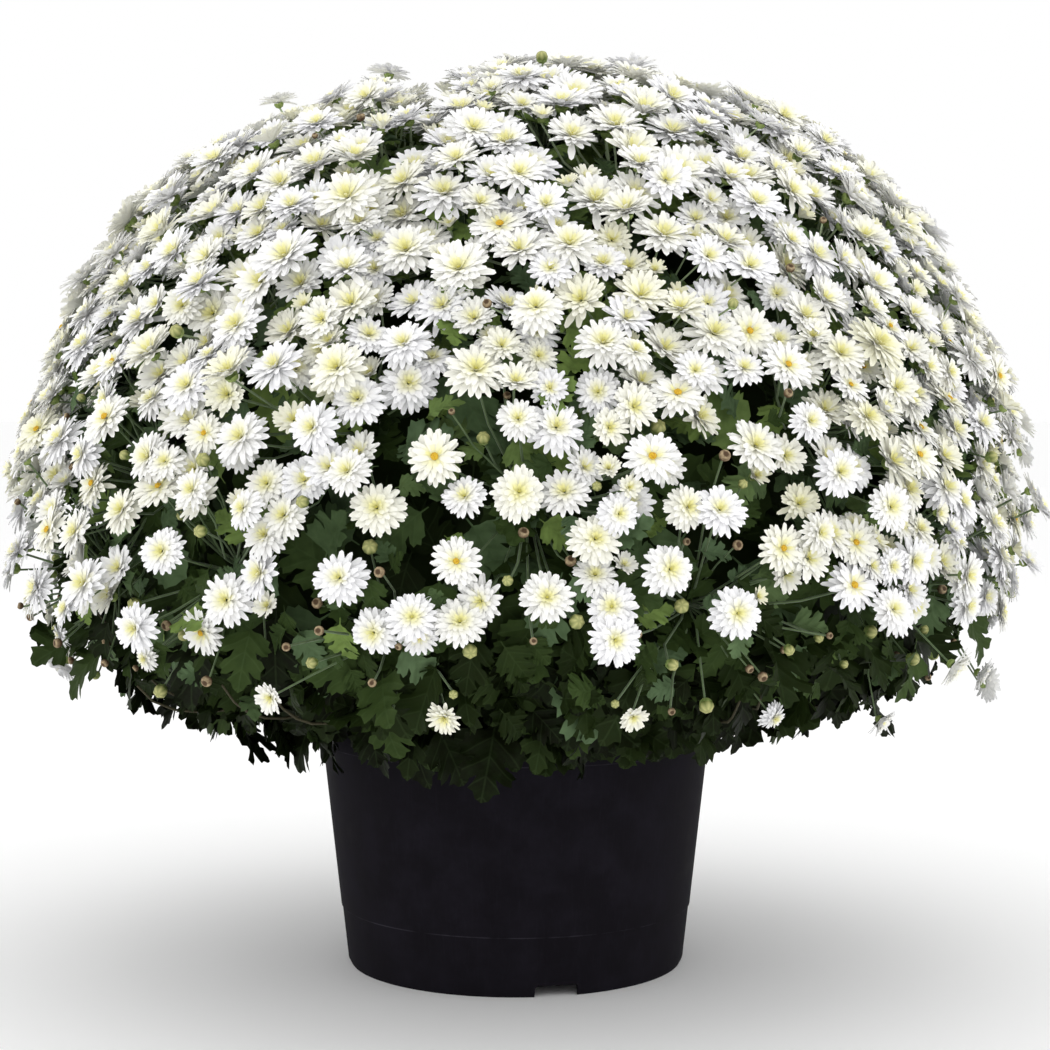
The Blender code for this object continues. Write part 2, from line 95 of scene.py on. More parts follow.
# Soil, with crumbs on it: lumps by how many there are in a metre, and the share of each
SOIL_TOP = 0.174
SOIL_MOUND = 0.006
SOIL_RINGS = 9
SOIL_SIDES = 72
SOIL_GAP = 0.0009
SOIL_LUMP = 0.0022
SOIL_LUMPS = ((60.0, 1.0), (140.0, 0.5))
SOIL_SEED = 21
CRUMBS = 260
CRUMB_SIZE = (0.0012, 0.0042)
CRUMB_INSET = 0.006

# Woody stems that rise from the soil, branches under the leaves, and twigs at the skirt's edge
WOODY_SEED = 3
WOODY_STEMS = 4
WOODY_RADIUS = 0.0058
WOODY_CIRCLE = 0.045
WOODY_FOOT = 0.150
WOODY_TOP = 0.235
BRANCHES = 18
BRANCH_RADIUS = (0.0034, 0.0022)
BRANCH_FOOT = (0.185, 0.20)
BRANCH_REACH = (0.19, 0.27)
TWIGS = 30
TWIG_RADIUS = (0.0012, 0.0008)
TWIG_SIDES_FROM = 0.5
TWIG_STARTS = ((0.20, 0.25), (0.218, 0.235))
TWIG_ENDS = ((0.29, 0.345), (0.240, 0.285))
TWIG_SWAY = 0.03

# Foliage dome, as in the solids' source
DOME_CENTRE = Vector((0.0, 0.0, 0.335))
DOME_RADIUS = 0.387
DOME_RISE = 0.367
DOME_DROP = 0.215
SHOULDER_POWER = 2.25
UNDERSIDE_POWER = 2.0
WAVE_HEIGHT = 0.012
WAVES_ACROSS = 7.0
WAVES_DEEP = 6.0
WAVE_START_ACROSS = 0.8
WAVE_START_DEEP = 2.1
FURROW_PLACE = -0.175
FURROW_WIDTH = 0.05
FURROW_DEPTH = 0.06
SUNKEN_SHOULDER = 0.07
CORE_SHARE = 0.75
CORE_FLOOR = 0.209
CORE_FLOOR_SLOPE = 0.02
# The looks' own lumps on the core, and how far it lies inside the solid one
CORE_INSET = 0.015
CORE_LUMP = 0.008
CORE_LUMPS = ((40.0, 1.0), (95.0, 0.6))
# Dark tone of the core, as painted shade of the bush's depth
CORE_PAINTED_SHADE = 0.2

# Places of the blooms, as in the solids' source
SPRAY_COUNT = 52
BLOOM_COUNT = 424
LOWEST_BLOOM = -0.36
LOWEST_SPRAY = -0.26
SPARSE_BELOW = -0.12
SPARSE_STEP = 4
REGROUPINGS = 8
BLOOM_SEED = 144
BLOOM_RADIUS = (0.0235, 0.0290)
BLOOM_RISE = (-0.012, 0.006)
BLOOM_WANDER = 0.014
BLOOM_LIFT = 0.38
BLOOM_TILT = 0.16
SOLID_GAP = 0.0003
KNOT_DEPTH = 0.054

# The solids' blooms are larger than life, and these are the real sizes: larger in the crown
TRUE_SIZE = 0.74
CROWN_GROWTH = 0.20
LOW_BLOOM = -0.16
LOW_GROWTH = 0.60
OPENING_SIZE = 0.66
BLOOM_OVAL = (0.94, 1.06)
BLOOM_DEPTH = (0.85, 1.15)
TONE_SPREAD = 0.05

# Blooms of the crown lean outwards, and sit lower from a height on: from it, its reach, and by what
CROWN_FROM = 0.42
CROWN_LEAN = 0.12
CROWN_LEAN_DOWN = -0.4
CROWN_SEAT = (0.06, 0.50)
CROWN_SEAT_FROM = 0.8
CROWN_SEAT_REACH = 0.2

# Smaller and younger blooms between the main ones, some of them on longer stalks
FILL_SEED = 77
FILL_TRIES = 6000
FILL_RADIUS = (0.0128, 0.0190)
FILL_RISE = (-0.022, 0.0)
FILL_CROWDING = 0.57
CROWN_CROWDING = 0.07
FILL_TILT = 0.42
FILL_LOWEST = -0.14
STRAY_SHARE = 0.05
STRAY_RISE = (0.004, 0.014)
STRAY_HIGHEST = 0.35
SHOULDER_RISE = 0.011
SHOULDER_FROM = 0.55
SHOULDER_REACH = 0.42
# How closely they stand: at mid height, and what patches, height and the right side add
DENSITY = 0.34
DENSITY_PATCHES = 1.2
DENSITY_UP = 0.74
DENSITY_RIGHT = 0.50
DENSITY_MIDDLE = 0.385
DENSITY_REACH = 0.20
DENSITY_LOWEST = -0.8
PATCHES_IN_METRE = 13.0

# Blooms that stand out of the dome on long stalks, by place
OUTLYING = (
    (0.388, -0.035, 0.425), (0.396, -0.012, 0.402), (0.405, 0.01, 0.315), (0.392, -0.045, 0.35),
    (0.384, 0.04, 0.268), (0.358, -0.05, 0.232), (0.366, -0.03, 0.222), (0.378, 0.02, 0.485),
    (-0.34, -0.06, 0.262), (-0.35, -0.04, 0.24), (-0.388, 0.015, 0.326), (-0.368, 0.03, 0.47),
    (-0.098, -0.01, 0.696), (-0.186, 0.01, 0.676), (-0.02, 0.372, 0.3), (0.17, 0.35, 0.32),
    (-0.23, 0.32, 0.28), (0.265, 0.29, 0.4), (-0.31, -0.24, 0.3), (0.3, -0.255, 0.262),
)
OUTLYING_RADIUS = (0.0135, 0.0175)

# Rings of florets of an open bloom, from the outside in, in shares of its radius: how many, the
# radius and height they start from, their tone at foot and tip, how deep the middle of a floret
# lies, and its steps from foot to tip, each with its length, rise in degrees and width
Ring = namedtuple("Ring", "florets foot height tones cup steps")
RINGS = (
    Ring(19, 0.08, -0.01, (0.03, 0.0), 0.028, ((0.62, 6, 0.255), (0.26, 0, 0.15))),
    Ring(17, 0.08, 0.00, (0.04, 0.0), 0.030, ((0.57, 14, 0.25), (0.27, 6, 0.145))),
    Ring(15, 0.07, 0.02, (0.10, 0.0), 0.0, ((0.47, 24, 0.25), (0.27, 12, 0.10))),
    Ring(12, 0.06, 0.04, (0.46, 0.05), 0.0, ((0.36, 37, 0.20), (0.18, 22, 0.12))),
    Ring(9, 0.04, 0.05, (0.92, 0.36), 0.0, ((0.22, 54, 0.125), (0.13, 44, 0.07))),
)

# Kinds of bloom: the share of florets and extra rise in degrees of each ring that it has, the extra
# tone, the radius and height of the disc in the middle, and whether the disc shows its gold
Kind = namedtuple("Kind", "rings tone disc_radius disc_height golden")
KINDS = {
    "flat": Kind(((1, -4), (1, -2), (1, 0), (1, 0), (1, 0)), 0.0, 0.06, 0.16, False),
    "flat_b": Kind(((1, -10), (1, 0), (1, -4), (1, -4), (1, 0)), 0.02, 0.06, 0.16, False),
    "full": Kind(((1, -16), (1.05, -4), (1.15, 3), (1.2, 4), (1, 4)), 0.0, 0.05, 0.18, False),
    "bowl": Kind(((1, 14), (1, 12), (1, 9), (1, 4), (1, 0)), 0.02, 0.06, 0.16, False),
    "bowl_b": Kind(((0.95, 4), (1, 7), (1.05, 6), (1.1, 0), (1, 0)), 0.0, 0.06, 0.16, False),
    "gold_eye": Kind(((1, -2), (1, -4), (1, -8), (1, -14), (0.55, -12)), 0.04, 0.13, 0.16, True),
    "gold_eye_b": Kind(
        ((0.9, -8), (0.95, -2), (0.9, -4), (0.8, -18), (0.35, -20)), 0.06, 0.145, 0.14, True
    ),
    "reflexed": Kind(((1, -30), (1, -20), (1.1, -10), (1.2, -2), (1, 0)), 0.0, 0.05, 0.17, False),
    "young": Kind(
        ((0.85, 14), (0.85, 14), (0.85, 12), (0.8, 8), (0.8, 0)), 0.05, 0.06, 0.18, False
    ),
    "young_b": Kind(((0.8, 22), (0.8, 20), (0.8, 16), (0.8, 10), (0.8, 0)), 0.1, 0.06, 0.2, False),
    "opening": Kind((None, (0.85, 34), (0.9, 28), (1.1, 18), (1.1, 6)), 0.22, 0.06, 0.24, False),
    "opening_b": Kind(((0.75, 30), (0.8, 28), None, (1.2, 16), (1.1, 6)), 0.14, 0.06, 0.22, False),
}
FLORET_FOOT_SHARE = 0.45
FLORET_TIP_REACH = 0.065
DROOPING_FLORETS = 0.05
DROOP_DEG = -20.0
DROOP_STRETCH = 0.06
DISC_TONE = 1.1

# The kinds that grow at each place on the plant, with their weights
MAIN_KINDS = {
    "flat": 26, "flat_b": 24, "full": 20, "gold_eye": 12, "gold_eye_b": 9, "reflexed": 8,
    "young": 7,
}
FILL_KINDS = {
    "flat": 14, "flat_b": 14, "full": 12, "gold_eye": 8, "reflexed": 5, "young": 20, "young_b": 18,
    "opening": 7, "opening_b": 6,
}
LOW_KINDS = {"reflexed": 3, "young": 4, "young_b": 4, "opening": 2}
OUTLYING_KINDS = {"bowl_b": 3, "flat_b": 3, "young": 4}
CROWN_KINDS = {
    "bowl": 34, "bowl_b": 30, "flat": 10, "full": 8, "gold_eye": 5, "young": 9, "young_b": 4,
}
CROWN_FILL_KINDS = {
    "bowl": 26, "bowl_b": 18, "gold_eye": 3, "young": 22, "young_b": 18, "opening": 7,
    "opening_b": 7,
}

# Stalks, by sectors of the plant, and buds. The bracts' cup is shares of a bloom's radius.
STALK_SECTORS = 10
STALK_TUBE = (4, 3)
WOODY_TUBE = (9, 6)
PEDUNCLE_RADIUS = (0.0022, 0.0015)
PEDICEL_RADIUS = (0.0010, 0.0008)
PEDICEL_DEPTH = (0.016, 0.040)
CUP_SEAT = 0.31
BUD_COUNT = 210
BUD_TRIES = 1600
BUD_SEED = 11
BUD_LOWEST = -0.28
BUD_WANDER = 0.02
BUD_CROWDING = 0.9
BUD_CUP = 3.9
BUD_DEPTH = (-0.028, 0.007)
BUD_SIZE = (0.0026, 0.0047)
SPENT_SHARE = 0.55
SPENT_SIZE = 0.86
CLOSED_SIZE = 1.12

# Half of a lobed leaf's edge, from its foot to its tip: to the side and along, as shares of length
LEAF_EDGE = (
    (0.011, 0.0), (0.014, 0.14), (0.07, 0.18), (0.17, 0.21), (0.25, 0.27), (0.33, 0.31),
    (0.32, 0.37), (0.39, 0.43), (0.34, 0.48), (0.36, 0.56), (0.27, 0.56), (0.16, 0.49), (0.2, 0.59),
    (0.28, 0.63), (0.34, 0.7), (0.29, 0.74), (0.3, 0.82), (0.21, 0.8), (0.11, 0.73), (0.14, 0.81),
    (0.19, 0.88), (0.12, 0.9), (0.08, 0.97), (0.0, 1.0),
)
LEAF_RIB = (0.88, 0.74, 0.60, 0.46, 0.32, 0.18, 0.0)
LEAF_RIPPLE = 0.07
# How far each shape of leaf droops, folds along its midrib and twists
LEAF_BENDS = (
    (0.2, 0.3, 0.1), (0.34, 0.18, -0.3), (0.6, 0.34, 0.3), (0.26, -0.16, -0.45), (0.1, 0.5, 0.0),
    (0.48, 0.1, 0.5), (0.62, 0.22, -0.15), (0.05, 0.2, 0.6),
)

# Layers of leaves: how many, how deep in shares of the dome, their lengths, tone and lowest height.
# Deeper layers get a darker tone, as painted shade.
LEAF_SEED = 5
LEAF_SECTORS = 10
LEAF_LAYERS = (
    (1180, (0.875, 0.965), (0.018, 0.036), 0.57, -0.40),
    (880, (0.82, 0.90), (0.034, 0.056), 0.42, -0.50),
    (320, (0.745, 0.83), (0.048, 0.068), 0.24, -0.52),
)
LEAF_WANDER = 0.05
LEAF_FLOOR = 0.215
LEAF_SETBACK = 0.012
LEAF_TONE_SPREAD = 0.16
YOUNG_LEAVES = 0.12
YOUNG_LIGHTER = 0.30
GAP_LIGHTER = 0.14
# The crown's leaves are painted lighter, as painted light, and leaves below the dome's middle
# darker, as painted shade
CROWN_PAINTED_LIGHT = 0.54
CROWN_NEARER = 0.015
LOW_PAINTED_SHADE = 1.25
KNOT_LEAVES = 7
KNOT_LEAF_LENGTH = (0.026, 0.044)
KNOT_LEAF_SPREAD = (0.0, 0.02)
KNOT_TONE = 0.45

# Skirt of leaves over the rim, its hem that rises outwards in waves, and leaves that hang below it
SKIRT_LEAVES = 560
SKIRT_DEPTH = (-0.66, -0.22)
SKIRT_SHARE = (0.72, 1.02)
SKIRT_FLOOR = 0.214
SKIRT_LIFT = 0.008
SKIRT_LENGTH = (0.034, 0.062)
SKIRT_LONG_SHARE = 0.06
SKIRT_LONGER = 1.45
# Tone of a skirt leaf from the deepest to the outermost: the deeper ones darker, as painted shade
SKIRT_PAINTED_SHADE_TONE = (-0.15, 0.36)
SKIRT_BREAKS = 3.7
SKIRT_BREAK_FROM = 0.55
SKIRT_BREAK_OUTWARD = 0.45
HEM = 0.158
HEM_SLOPE = 0.45
HEM_WAVE = 0.040
HEM_WAVES_IN_METRE = 17.0
HANGING_SHARE = 0.20
HANGING_REACH = 0.26


# ---- Modelling by hand

def deselect():
    bpy.ops.object.select_all(action="DESELECT")


def make_active(piece):
    deselect()
    piece.select_set(True)
    bpy.context.view_layer.objects.active = piece


def new_piece(name, add_primitive, **settings):
    """Adds a primitive, and lays its place, turn and size down in its mesh."""
    deselect()
    add_primitive(**settings)
    piece = bpy.context.object
    piece.name = name
    piece.data.name = name
    bpy.ops.object.transform_apply(location=True, rotation=True, scale=True)
    return piece


def begin_edit(piece):
    make_active(piece)
    bpy.ops.object.mode_set(mode="EDIT")
    bpy.ops.mesh.select_mode(type="VERT")


def end_edit():
    bpy.ops.object.mode_set(mode="OBJECT")


def pick(piece, rule):
    """While editing, selects the points whose place the rule accepts, with the faces between."""
    shape = bmesh.from_edit_mesh(piece.data)
    bpy.ops.mesh.select_all(action="DESELECT")
    for point in shape.verts:
        point.select_set(bool(rule(point.co)))
    shape.select_flush(True)
    bmesh.update_edit_mesh(piece.data)


def pick_all():
    bpy.ops.mesh.select_all(action="SELECT")


def move(x=0.0, y=0.0, z=0.0):
    bpy.ops.transform.translate(value=(x, y, z))


def draw_out(x=0.0, y=0.0, z=0.0):
    bpy.ops.mesh.extrude_region_move(TRANSFORM_OT_translate={"value": (x, y, z)})


def scale_about(centre, x=1.0, y=1.0, z=1.0):
    bpy.ops.transform.resize(value=(x, y, z), center_override=centre)


def apply_modifiers(piece):
    make_active(piece)
    for modifier in list(piece.modifiers):
        bpy.ops.object.modifier_apply(modifier=modifier.name)


def smooth(piece, degrees=None):
    make_active(piece)
    if degrees is None:
        bpy.ops.object.shade_smooth()
    else:
        bpy.ops.object.shade_smooth_by_angle(angle=math.radians(degrees))


def join(name, pieces):
    """Joins the pieces into the first of them, which gets the name."""
    deselect()
    for piece in pieces:
        piece.select_set(True)
    bpy.context.view_layer.objects.active = pieces[0]
    if len(pieces) > 1:
        bpy.ops.object.join()
    joined = bpy.context.view_layer.objects.active
    joined.name = name
    joined.data.name = name
    return joined


def copy_of(model, matrix=None):
    """A copy with its own mesh, with its place laid down in the mesh."""
    copied = model.copy()
    copied.data = model.data.copy()
    bpy.context.scene.collection.objects.link(copied)
    if matrix is not None:
        copied.data.transform(matrix)
    return copied


def remove(pieces):
    for piece in pieces:
        mesh = piece.data
        bpy.data.objects.remove(piece)
        bpy.data.meshes.remove(mesh)


def drawn_line(name, points):
    """A line of points: one point, drawn out from each place to the next."""
    first = Vector(points[0])
    line = new_piece(name, bpy.ops.mesh.primitive_plane_add, size=0.001, location=first)
    begin_edit(line)
    pick_all()
    bpy.ops.mesh.merge(type="CENTER")
    for start, end in zip(points, points[1:]):
        draw_out(*(Vector(end) - Vector(start)))
    end_edit()
    return line


def set_tone(piece, rule):
    """Writes each point's tone, a number that the finishes read, from its place and old tone."""
    mesh = piece.data
    layer = mesh.attributes.get("tone") or mesh.attributes.new("tone", "FLOAT", "POINT")
    old = [0.0] * len(mesh.vertices)
    layer.data.foreach_get("value", old)
    layer.data.foreach_set("value", [rule(v.co, t) for v, t in zip(mesh.vertices, old)])


def set_map(piece, rule):
    """Writes the map of a petal or leaf: across and along it, from the place of each point."""
    mesh = piece.data
    layer = mesh.uv_layers.active or mesh.uv_layers.new(name="UVMap")
    for loop in mesh.loops:
        layer.data[loop.index].uv = rule(mesh.vertices[loop.vertex_index].co)


def paint(piece, material):
    piece.data.materials.clear()
    piece.data.materials.append(material)


def finish_piece(piece, slot, *nodes):
    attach(piece, "root")
    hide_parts(*nodes)


# ---- Places and numbers

def clamp(value, lowest=0.0, highest=1.0):
    return min(max(value, lowest), highest)


def between(limits, share):
    return limits[0] + share * (limits[1] - limits[0])


def around(turn, radius=1.0, height=0.0):
    """Place on a level circle about the plant's middle."""
    return Vector((radius * math.cos(turn), radius * math.sin(turn), height))


def bearing(place):
    """Turn of a place about the vertical axis, in whole degrees."""
    return round(math.degrees(math.atan2(place.y, place.x)))


def random_vector(rng):
    return Vector([rng.uniform(-1.0, 1.0) for _ in range(3)])


def lumps(place, sizes):
    """Noise of several sizes: how many lumps there are in a metre, and the share of each size."""
    return sum(share * noise.noise(place * in_metre) for in_metre, share in sizes)


def frame_along(axis, roll, place):
    """Matrix whose +Z lies along axis, turned about it by roll, with its origin at place."""
    turned = axis.to_track_quat("Z", "Y").to_matrix().to_4x4()
    return Matrix.Translation(place) @ turned @ Matrix.Rotation(roll, 4, "Z")


def leaf_frame(root, axis, face, length):
    """Matrix at root with +Y along axis and +Z turned as near to face as it can be."""
    side = axis.cross(face).normalized()
    front = side.cross(axis).normalized()
    turned = Matrix((side, axis, front)).transposed().to_4x4()
    return Matrix.Translation(root) @ turned @ Matrix.Scale(length, 4)


def sector_of(place, sectors):
    turn = math.atan2(place.y, place.x) % (2.0 * math.pi)
    return int(turn / (2.0 * math.pi) * sectors) % sectors


# ---- Finishes

MIX_A, MIX_B, MIX_RESULT = 6, 7, 2
NOISE, CELLS = ("TexNoise", "Fac"), ("TexVoronoi", "Distance")


def colour(code):
    """Linear colour of an sRGB hex value."""
    shares = [int(code[i:i + 2], 16) / 255.0 for i in (1, 3, 5)]
    linear = [s / 12.92 if s <= 0.04045 else ((s + 0.055) / 1.055) ** 2.4 for s in shares]
    return (*linear, 1.0)


def add(tree, kind, inputs=None, **settings):
    """Adds a node with its settings and its inputs, each a plain value or a socket to link."""
    node = tree.nodes.new("ShaderNode" + kind)
    for name, value in settings.items():
        setattr(node, name, value)
    for name, value in (inputs or {}).items():
        if isinstance(value, bpy.types.NodeSocket):
            tree.links.new(value, node.inputs[name])
        else:
            node.inputs[name].default_value = value
    return node


def new_finish(name, roughness, ior, **fixed):
    """A finish with a plain shader, whose fixed numbers are set on the shader's own sockets."""
    finish = bpy.data.materials.new(name)
    finish.use_nodes = True
    tree = finish.node_tree
    shader = tree.nodes["Principled BSDF"]
    shader.inputs["Roughness"].default_value = roughness
    shader.inputs["IOR"].default_value = ior
    for socket, value in fixed.items():
        shader.inputs[socket.replace("_", " ")].default_value = value
    return finish, tree, shader


def surface(tree, shader, base, layers, height=None, strength=0.0, depth=0.0, invert=False):
    """Gives a finish its colour, from a base up through its layers, and its relief if it has one.

    Each layer is the socket that gives its share, and its colour.
    """
    for share, code in layers:
        layer = add(tree, "Mix", {0: share, MIX_A: base, MIX_B: colour(code)}, data_type="RGBA")
        base = layer.outputs[MIX_RESULT]
    tree.links.new(base, shader.inputs["Base Color"])
    if height is not None:
        inputs = {"Height": height, "Strength": strength, "Distance": depth}
        relief = add(tree, "Bump", inputs, invert=invert)
        tree.links.new(relief.outputs["Normal"], shader.inputs["Normal"])


def patterned_finish(name, roughness, ior, texture, settings, codes, relief=(), upright=None):
    """A finish whose colour, and relief where it has one, follow one texture on Object places."""
    finish, tree, shader = new_finish(name, roughness, ior)
    place = add(tree, "TexCoord").outputs["Object"]
    if upright is not None:
        stretch = {"Vector": place, "Scale": (1.0, 1.0, upright)}
        place = add(tree, "Mapping", stretch).outputs["Vector"]
    kind, output = texture
    pattern = add(tree, kind, {"Vector": place, **settings}).outputs[output]
    height = pattern if relief else None
    surface(tree, shader, colour(codes[0]), [(pattern, codes[1])], height, *relief)
    return finish


def petal_finish():
    """Living ray floret, grown: a velvety white film with fine ridges, cream to green at its foot.

    It scatters light evenly, so its shaded side stays pale.
    """
    finish, tree, shader = new_finish(
        "ray_floret", 0.55, 1.4, Sheen_Weight=0.7, Sheen_Roughness=0.5, Diffuse_Roughness=1.0
    )
    tone = add(tree, "Attribute", attribute_name="tone").outputs["Fac"]
    cream = add(tree, "MapRange", {"Value": tone, "From Max": 0.6})
    green = add(tree, "MapRange", {"Value": tone, "From Min": 0.6, "From Max": 1.15})
    layers = [(cream.outputs["Result"], "#F5F2B4"), (green.outputs["Result"], "#C9C254")]
    floret_map = add(tree, "UVMap", uv_map="UVMap")
    # Five ridges across a floret of about 5 mm
    across = {"Vector": floret_map.outputs["UV"], "Scale": 1.6, "Distortion": 0.4}
    ridges = add(tree, "TexWave", across, bands_direction="X")
    surface(tree, shader, colour("#FDFDFE"), layers, ridges.outputs["Fac"], 0.25, 0.0003)
    return finish


def disc_finish():
    """Disc florets, grown: a close cushion of golden tubes, each under a millimetre across."""
    # One cell for each tube, 0.9 mm apart
    cells = {"Scale": 1100.0}
    relief = (0.8, 0.0005, True)
    return patterned_finish("disc_florets", 0.7, 1.4, CELLS, cells, ("#F0D03C", "#BC7E12"), relief)


def leaf_finish():
    """Living leaf, grown: dark green and nearly matt, with veins a little paler than the blade."""
    finish, tree, shader = new_finish("leaf_blade", 0.6, 1.42, Specular_IOR_Level=0.10)
    leaf_map = add(tree, "UVMap", uv_map="UVMap")
    parts = add(tree, "SeparateXYZ", {"Vector": leaf_map.outputs["UV"]}).outputs
    across = add(tree, "Math", {0: parts["X"]}, operation="ABSOLUTE").outputs[0]
    # Side veins leave the midrib forwards, one into each lobe, about 10 mm apart
    slant, spacing = {0: across, 1: -0.9, 2: parts["Y"]}, {1: 8.7, 2: -2.1}
    spacing[0] = add(tree, "Math", slant, operation="MULTIPLY_ADD").outputs[0]
    turns = add(tree, "Math", spacing, operation="MULTIPLY_ADD").outputs[0]
    phase = add(tree, "Math", {0: turns, 1: 1.0}, operation="PINGPONG").outputs[0]
    # Both kinds of vein fade out to their sides
    edges = [
        add(tree, "MapRange", {**inputs, "To Min": 1.0, "To Max": 0.0}).outputs["Result"]
        for inputs in (
            {"Value": phase, "From Max": 0.17},
            {"Value": across, "From Min": 0.005, "From Max": 0.018},
        )
    ]
    veins = add(tree, "Math", {0: edges[0], 1: edges[1]}, operation="MAXIMUM").outputs[0]
    vein_share = add(tree, "Math", {0: veins, 1: 0.05}, operation="MULTIPLY").outputs[0]
    # Low tones are painted shade, on deep and low leaves; the blue-grey green near the top of the
    # ramp is a painted sky reflection on the leaves' gloss, and carries the crown's painted light;
    # the youngest leaves are yellow-green
    tone = add(tree, "Attribute", attribute_name="tone")
    blade = add(tree, "ValToRGB", {"Fac": tone.outputs["Fac"]})
    steps = blade.color_ramp.elements
    steps[0].color = colour("#0C1003")
    steps[1].color = colour("#738A48")
    for place_on_ramp, code in ((0.30, "#212D0F"), (0.55, "#3D4F27"), (0.80, "#5C7252")):
        steps.new(place_on_ramp).color = colour(code)
    # Mottling of the blade, 8 mm across
    place = add(tree, "TexCoord").outputs["Object"]
    mottle = add(tree, "TexNoise", {"Vector": place, "Scale": 125.0, "Detail": 2.0})
    patches = {"Value": mottle.outputs["Fac"], "From Min": 0.40, "From Max": 0.75, "To Max": 0.35}
    patches = add(tree, "MapRange", patches).outputs["Result"]
    layers = [(patches, "#1E2E12"), (vein_share, "#74905E")]
    # The blade swells between the veins, by about a millimetre
    swell = {"Value": phase, "From Max": 0.8}
    swell = add(tree, "MapRange", swell, interpolation_type="SMOOTHSTEP").outputs["Result"]
    surface(tree, shader, blade.outputs["Color"], layers, swell, 0.5, 0.0012)
    return finish


def stalk_finish():
    """Young stalk, grown: grey-green under a bloom of fine hairs, and painted paler in the crown as
    painted light.
    """
    finish, tree, shader = new_finish("green_stalk", 0.6, 1.4, Sheen_Weight=0.2)
    place = add(tree, "TexCoord").outputs["Object"]
    # Patches of more and fewer hairs, 6 mm long
    hairs = add(tree, "TexNoise", {"Vector": place, "Scale": 160.0, "Detail": 3.0})
    # Above 0.42 m, in the crown, the stalks are painted paler, as painted light
    height = add(tree, "SeparateXYZ", {"Vector": place}).outputs["Z"]
    young = {"Value": height, "From Min": 0.42, "From Max": 0.62, "To Max": 0.7}
    young = add(tree, "MapRange", young).outputs["Result"]
    layers = [(hairs.outputs["Fac"], "#6F8458"), (young, "#B4C49C")]
    surface(tree, shader, colour("#34492A"), layers)
    return finish


def bract_finish():
    """Bracts of a flower head, grown: green scales with thin pale edges."""
    # Scales about 2 mm across
    cells = {"Scale": 480.0}
    return patterned_finish("green_bract", 0.55, 1.4, CELLS, cells, ("#5E7A34", "#A3B26C"))


def bud_finish():
    """Furled bud, grown: florets packed edge to edge, green at the foot and cream above."""
    finish, tree, shader = new_finish("furled_bud", 0.5, 1.4)
    tone = add(tree, "Attribute", attribute_name="tone")
    surface(tree, shader, colour("#5C6C30"), [(tone.outputs["Fac"], "#C9C684")])
    return finish


def spent_finish():
    """Dried bud: papery tan, darker where it has shrunk."""
    finish, tree, shader = new_finish("dried_bud", 0.8, 1.4)
    tone = add(tree, "Attribute", attribute_name="tone")
    place = add(tree, "TexCoord").outputs["Object"]
    # Shrunken folds about 2 mm apart
    folds = add(tree, "TexNoise", {"Vector": place, "Scale": 480.0, "Detail": 2.0})
    full = {0: tone.outputs["Fac"], 1: folds.outputs["Fac"]}
    full = add(tree, "Math", full, operation="MULTIPLY").outputs[0]
    full = add(tree, "MapRange", {"Value": full, "From Min": 0.10, "From Max": 0.55})
    surface(tree, shader, colour("#4E3A26"), [(full.outputs["Result"], "#CDB892")])
    return finish


def bark_finish():
    """Woody stem, grown: thin grey-brown bark with long cracks."""
    # Cracks a millimetre apart, drawn out six times along the stem
    cracks = {"Scale": 700.0, "Detail": 4.0}
    codes = ("#262217", "#4E4A30")
    return patterned_finish("thin_bark", 0.8, 1.45, NOISE, cracks, codes, (0.6, 0.0006), 0.16)


def pot_finish():
    """Black polypropylene, injection moulded: nearly matt, with scuffs and dust, and a painted
    highlight along its steps.
    """
    finish, tree, shader = new_finish("black_polypropylene", 0.8, 1.49, Specular_IOR_Level=0.05)
    place = add(tree, "TexCoord").outputs["Object"]
    # Scuffs 2 mm apart round the wall, drawn out twelve times up it
    drawn = add(tree, "Mapping", {"Vector": place, "Scale": (1.0, 1.0, 0.08)}).outputs["Vector"]
    scuffs = {"Vector": drawn, "Scale": 420.0, "Detail": 4.0, "Roughness": 0.7}
    scuffs = add(tree, "TexNoise", scuffs).outputs["Fac"]
    # Dust in patches about 30 mm across
    dust = {"Vector": place, "Scale": 34.0, "Detail": 5.0, "Roughness": 0.6}
    dust = add(tree, "TexNoise", dust).outputs["Fac"]
    # A pale line a millimetre wide, broken up by the dust pattern, is painted along each of the two
    # mould steps, as a painted highlight where a step's edge catches light
    height = add(tree, "SeparateXYZ", {"Vector": place}).outputs["Z"]
    step_highlight_lines = [
        add(tree, "Math", {0: height, 1: step, 2: STEP_HIGHLIGHT_WIDTH}, operation="COMPARE").outputs[0]
        for step in (FOOT_BAND_TOP, POT_HEIGHT - RIM_BAND)
    ]
    step_highlights = add(tree, "Math", {0: step_highlight_lines[0], 1: step_highlight_lines[1]}, operation="ADD").outputs[0]
    shares = []
    for source, low, high, share in (
        (scuffs, 0.52, 0.8, 0.5), (dust, 0.42, 0.75, 0.45), (dust, 0.40, 0.65, 0.6)
    ):
        inputs = {"Value": source, "From Min": low, "From Max": high, "To Max": share}
        shares.append(add(tree, "MapRange", inputs).outputs["Result"])
    broken_step_highlights = add(tree, "Math", {0: step_highlights, 1: shares[2]}, operation="MULTIPLY").outputs[0]
    # The last layer is the painted highlight along the steps
    layers = [(shares[0], "#1E1C22"), (shares[1], "#24222A"), (broken_step_highlights, "#403E45")]
    # Dusty places are the more matt ones
    matt = {"Value": dust, "From Min": 0.3, "From Max": 0.7, "To Min": 0.72, "To Max": 0.88}
    tree.links.new(add(tree, "MapRange", matt).outputs["Result"], shader.inputs["Roughness"])
    surface(tree, shader, colour("#141217"), layers, scuffs, 0.12, 0.0004)
    return finish


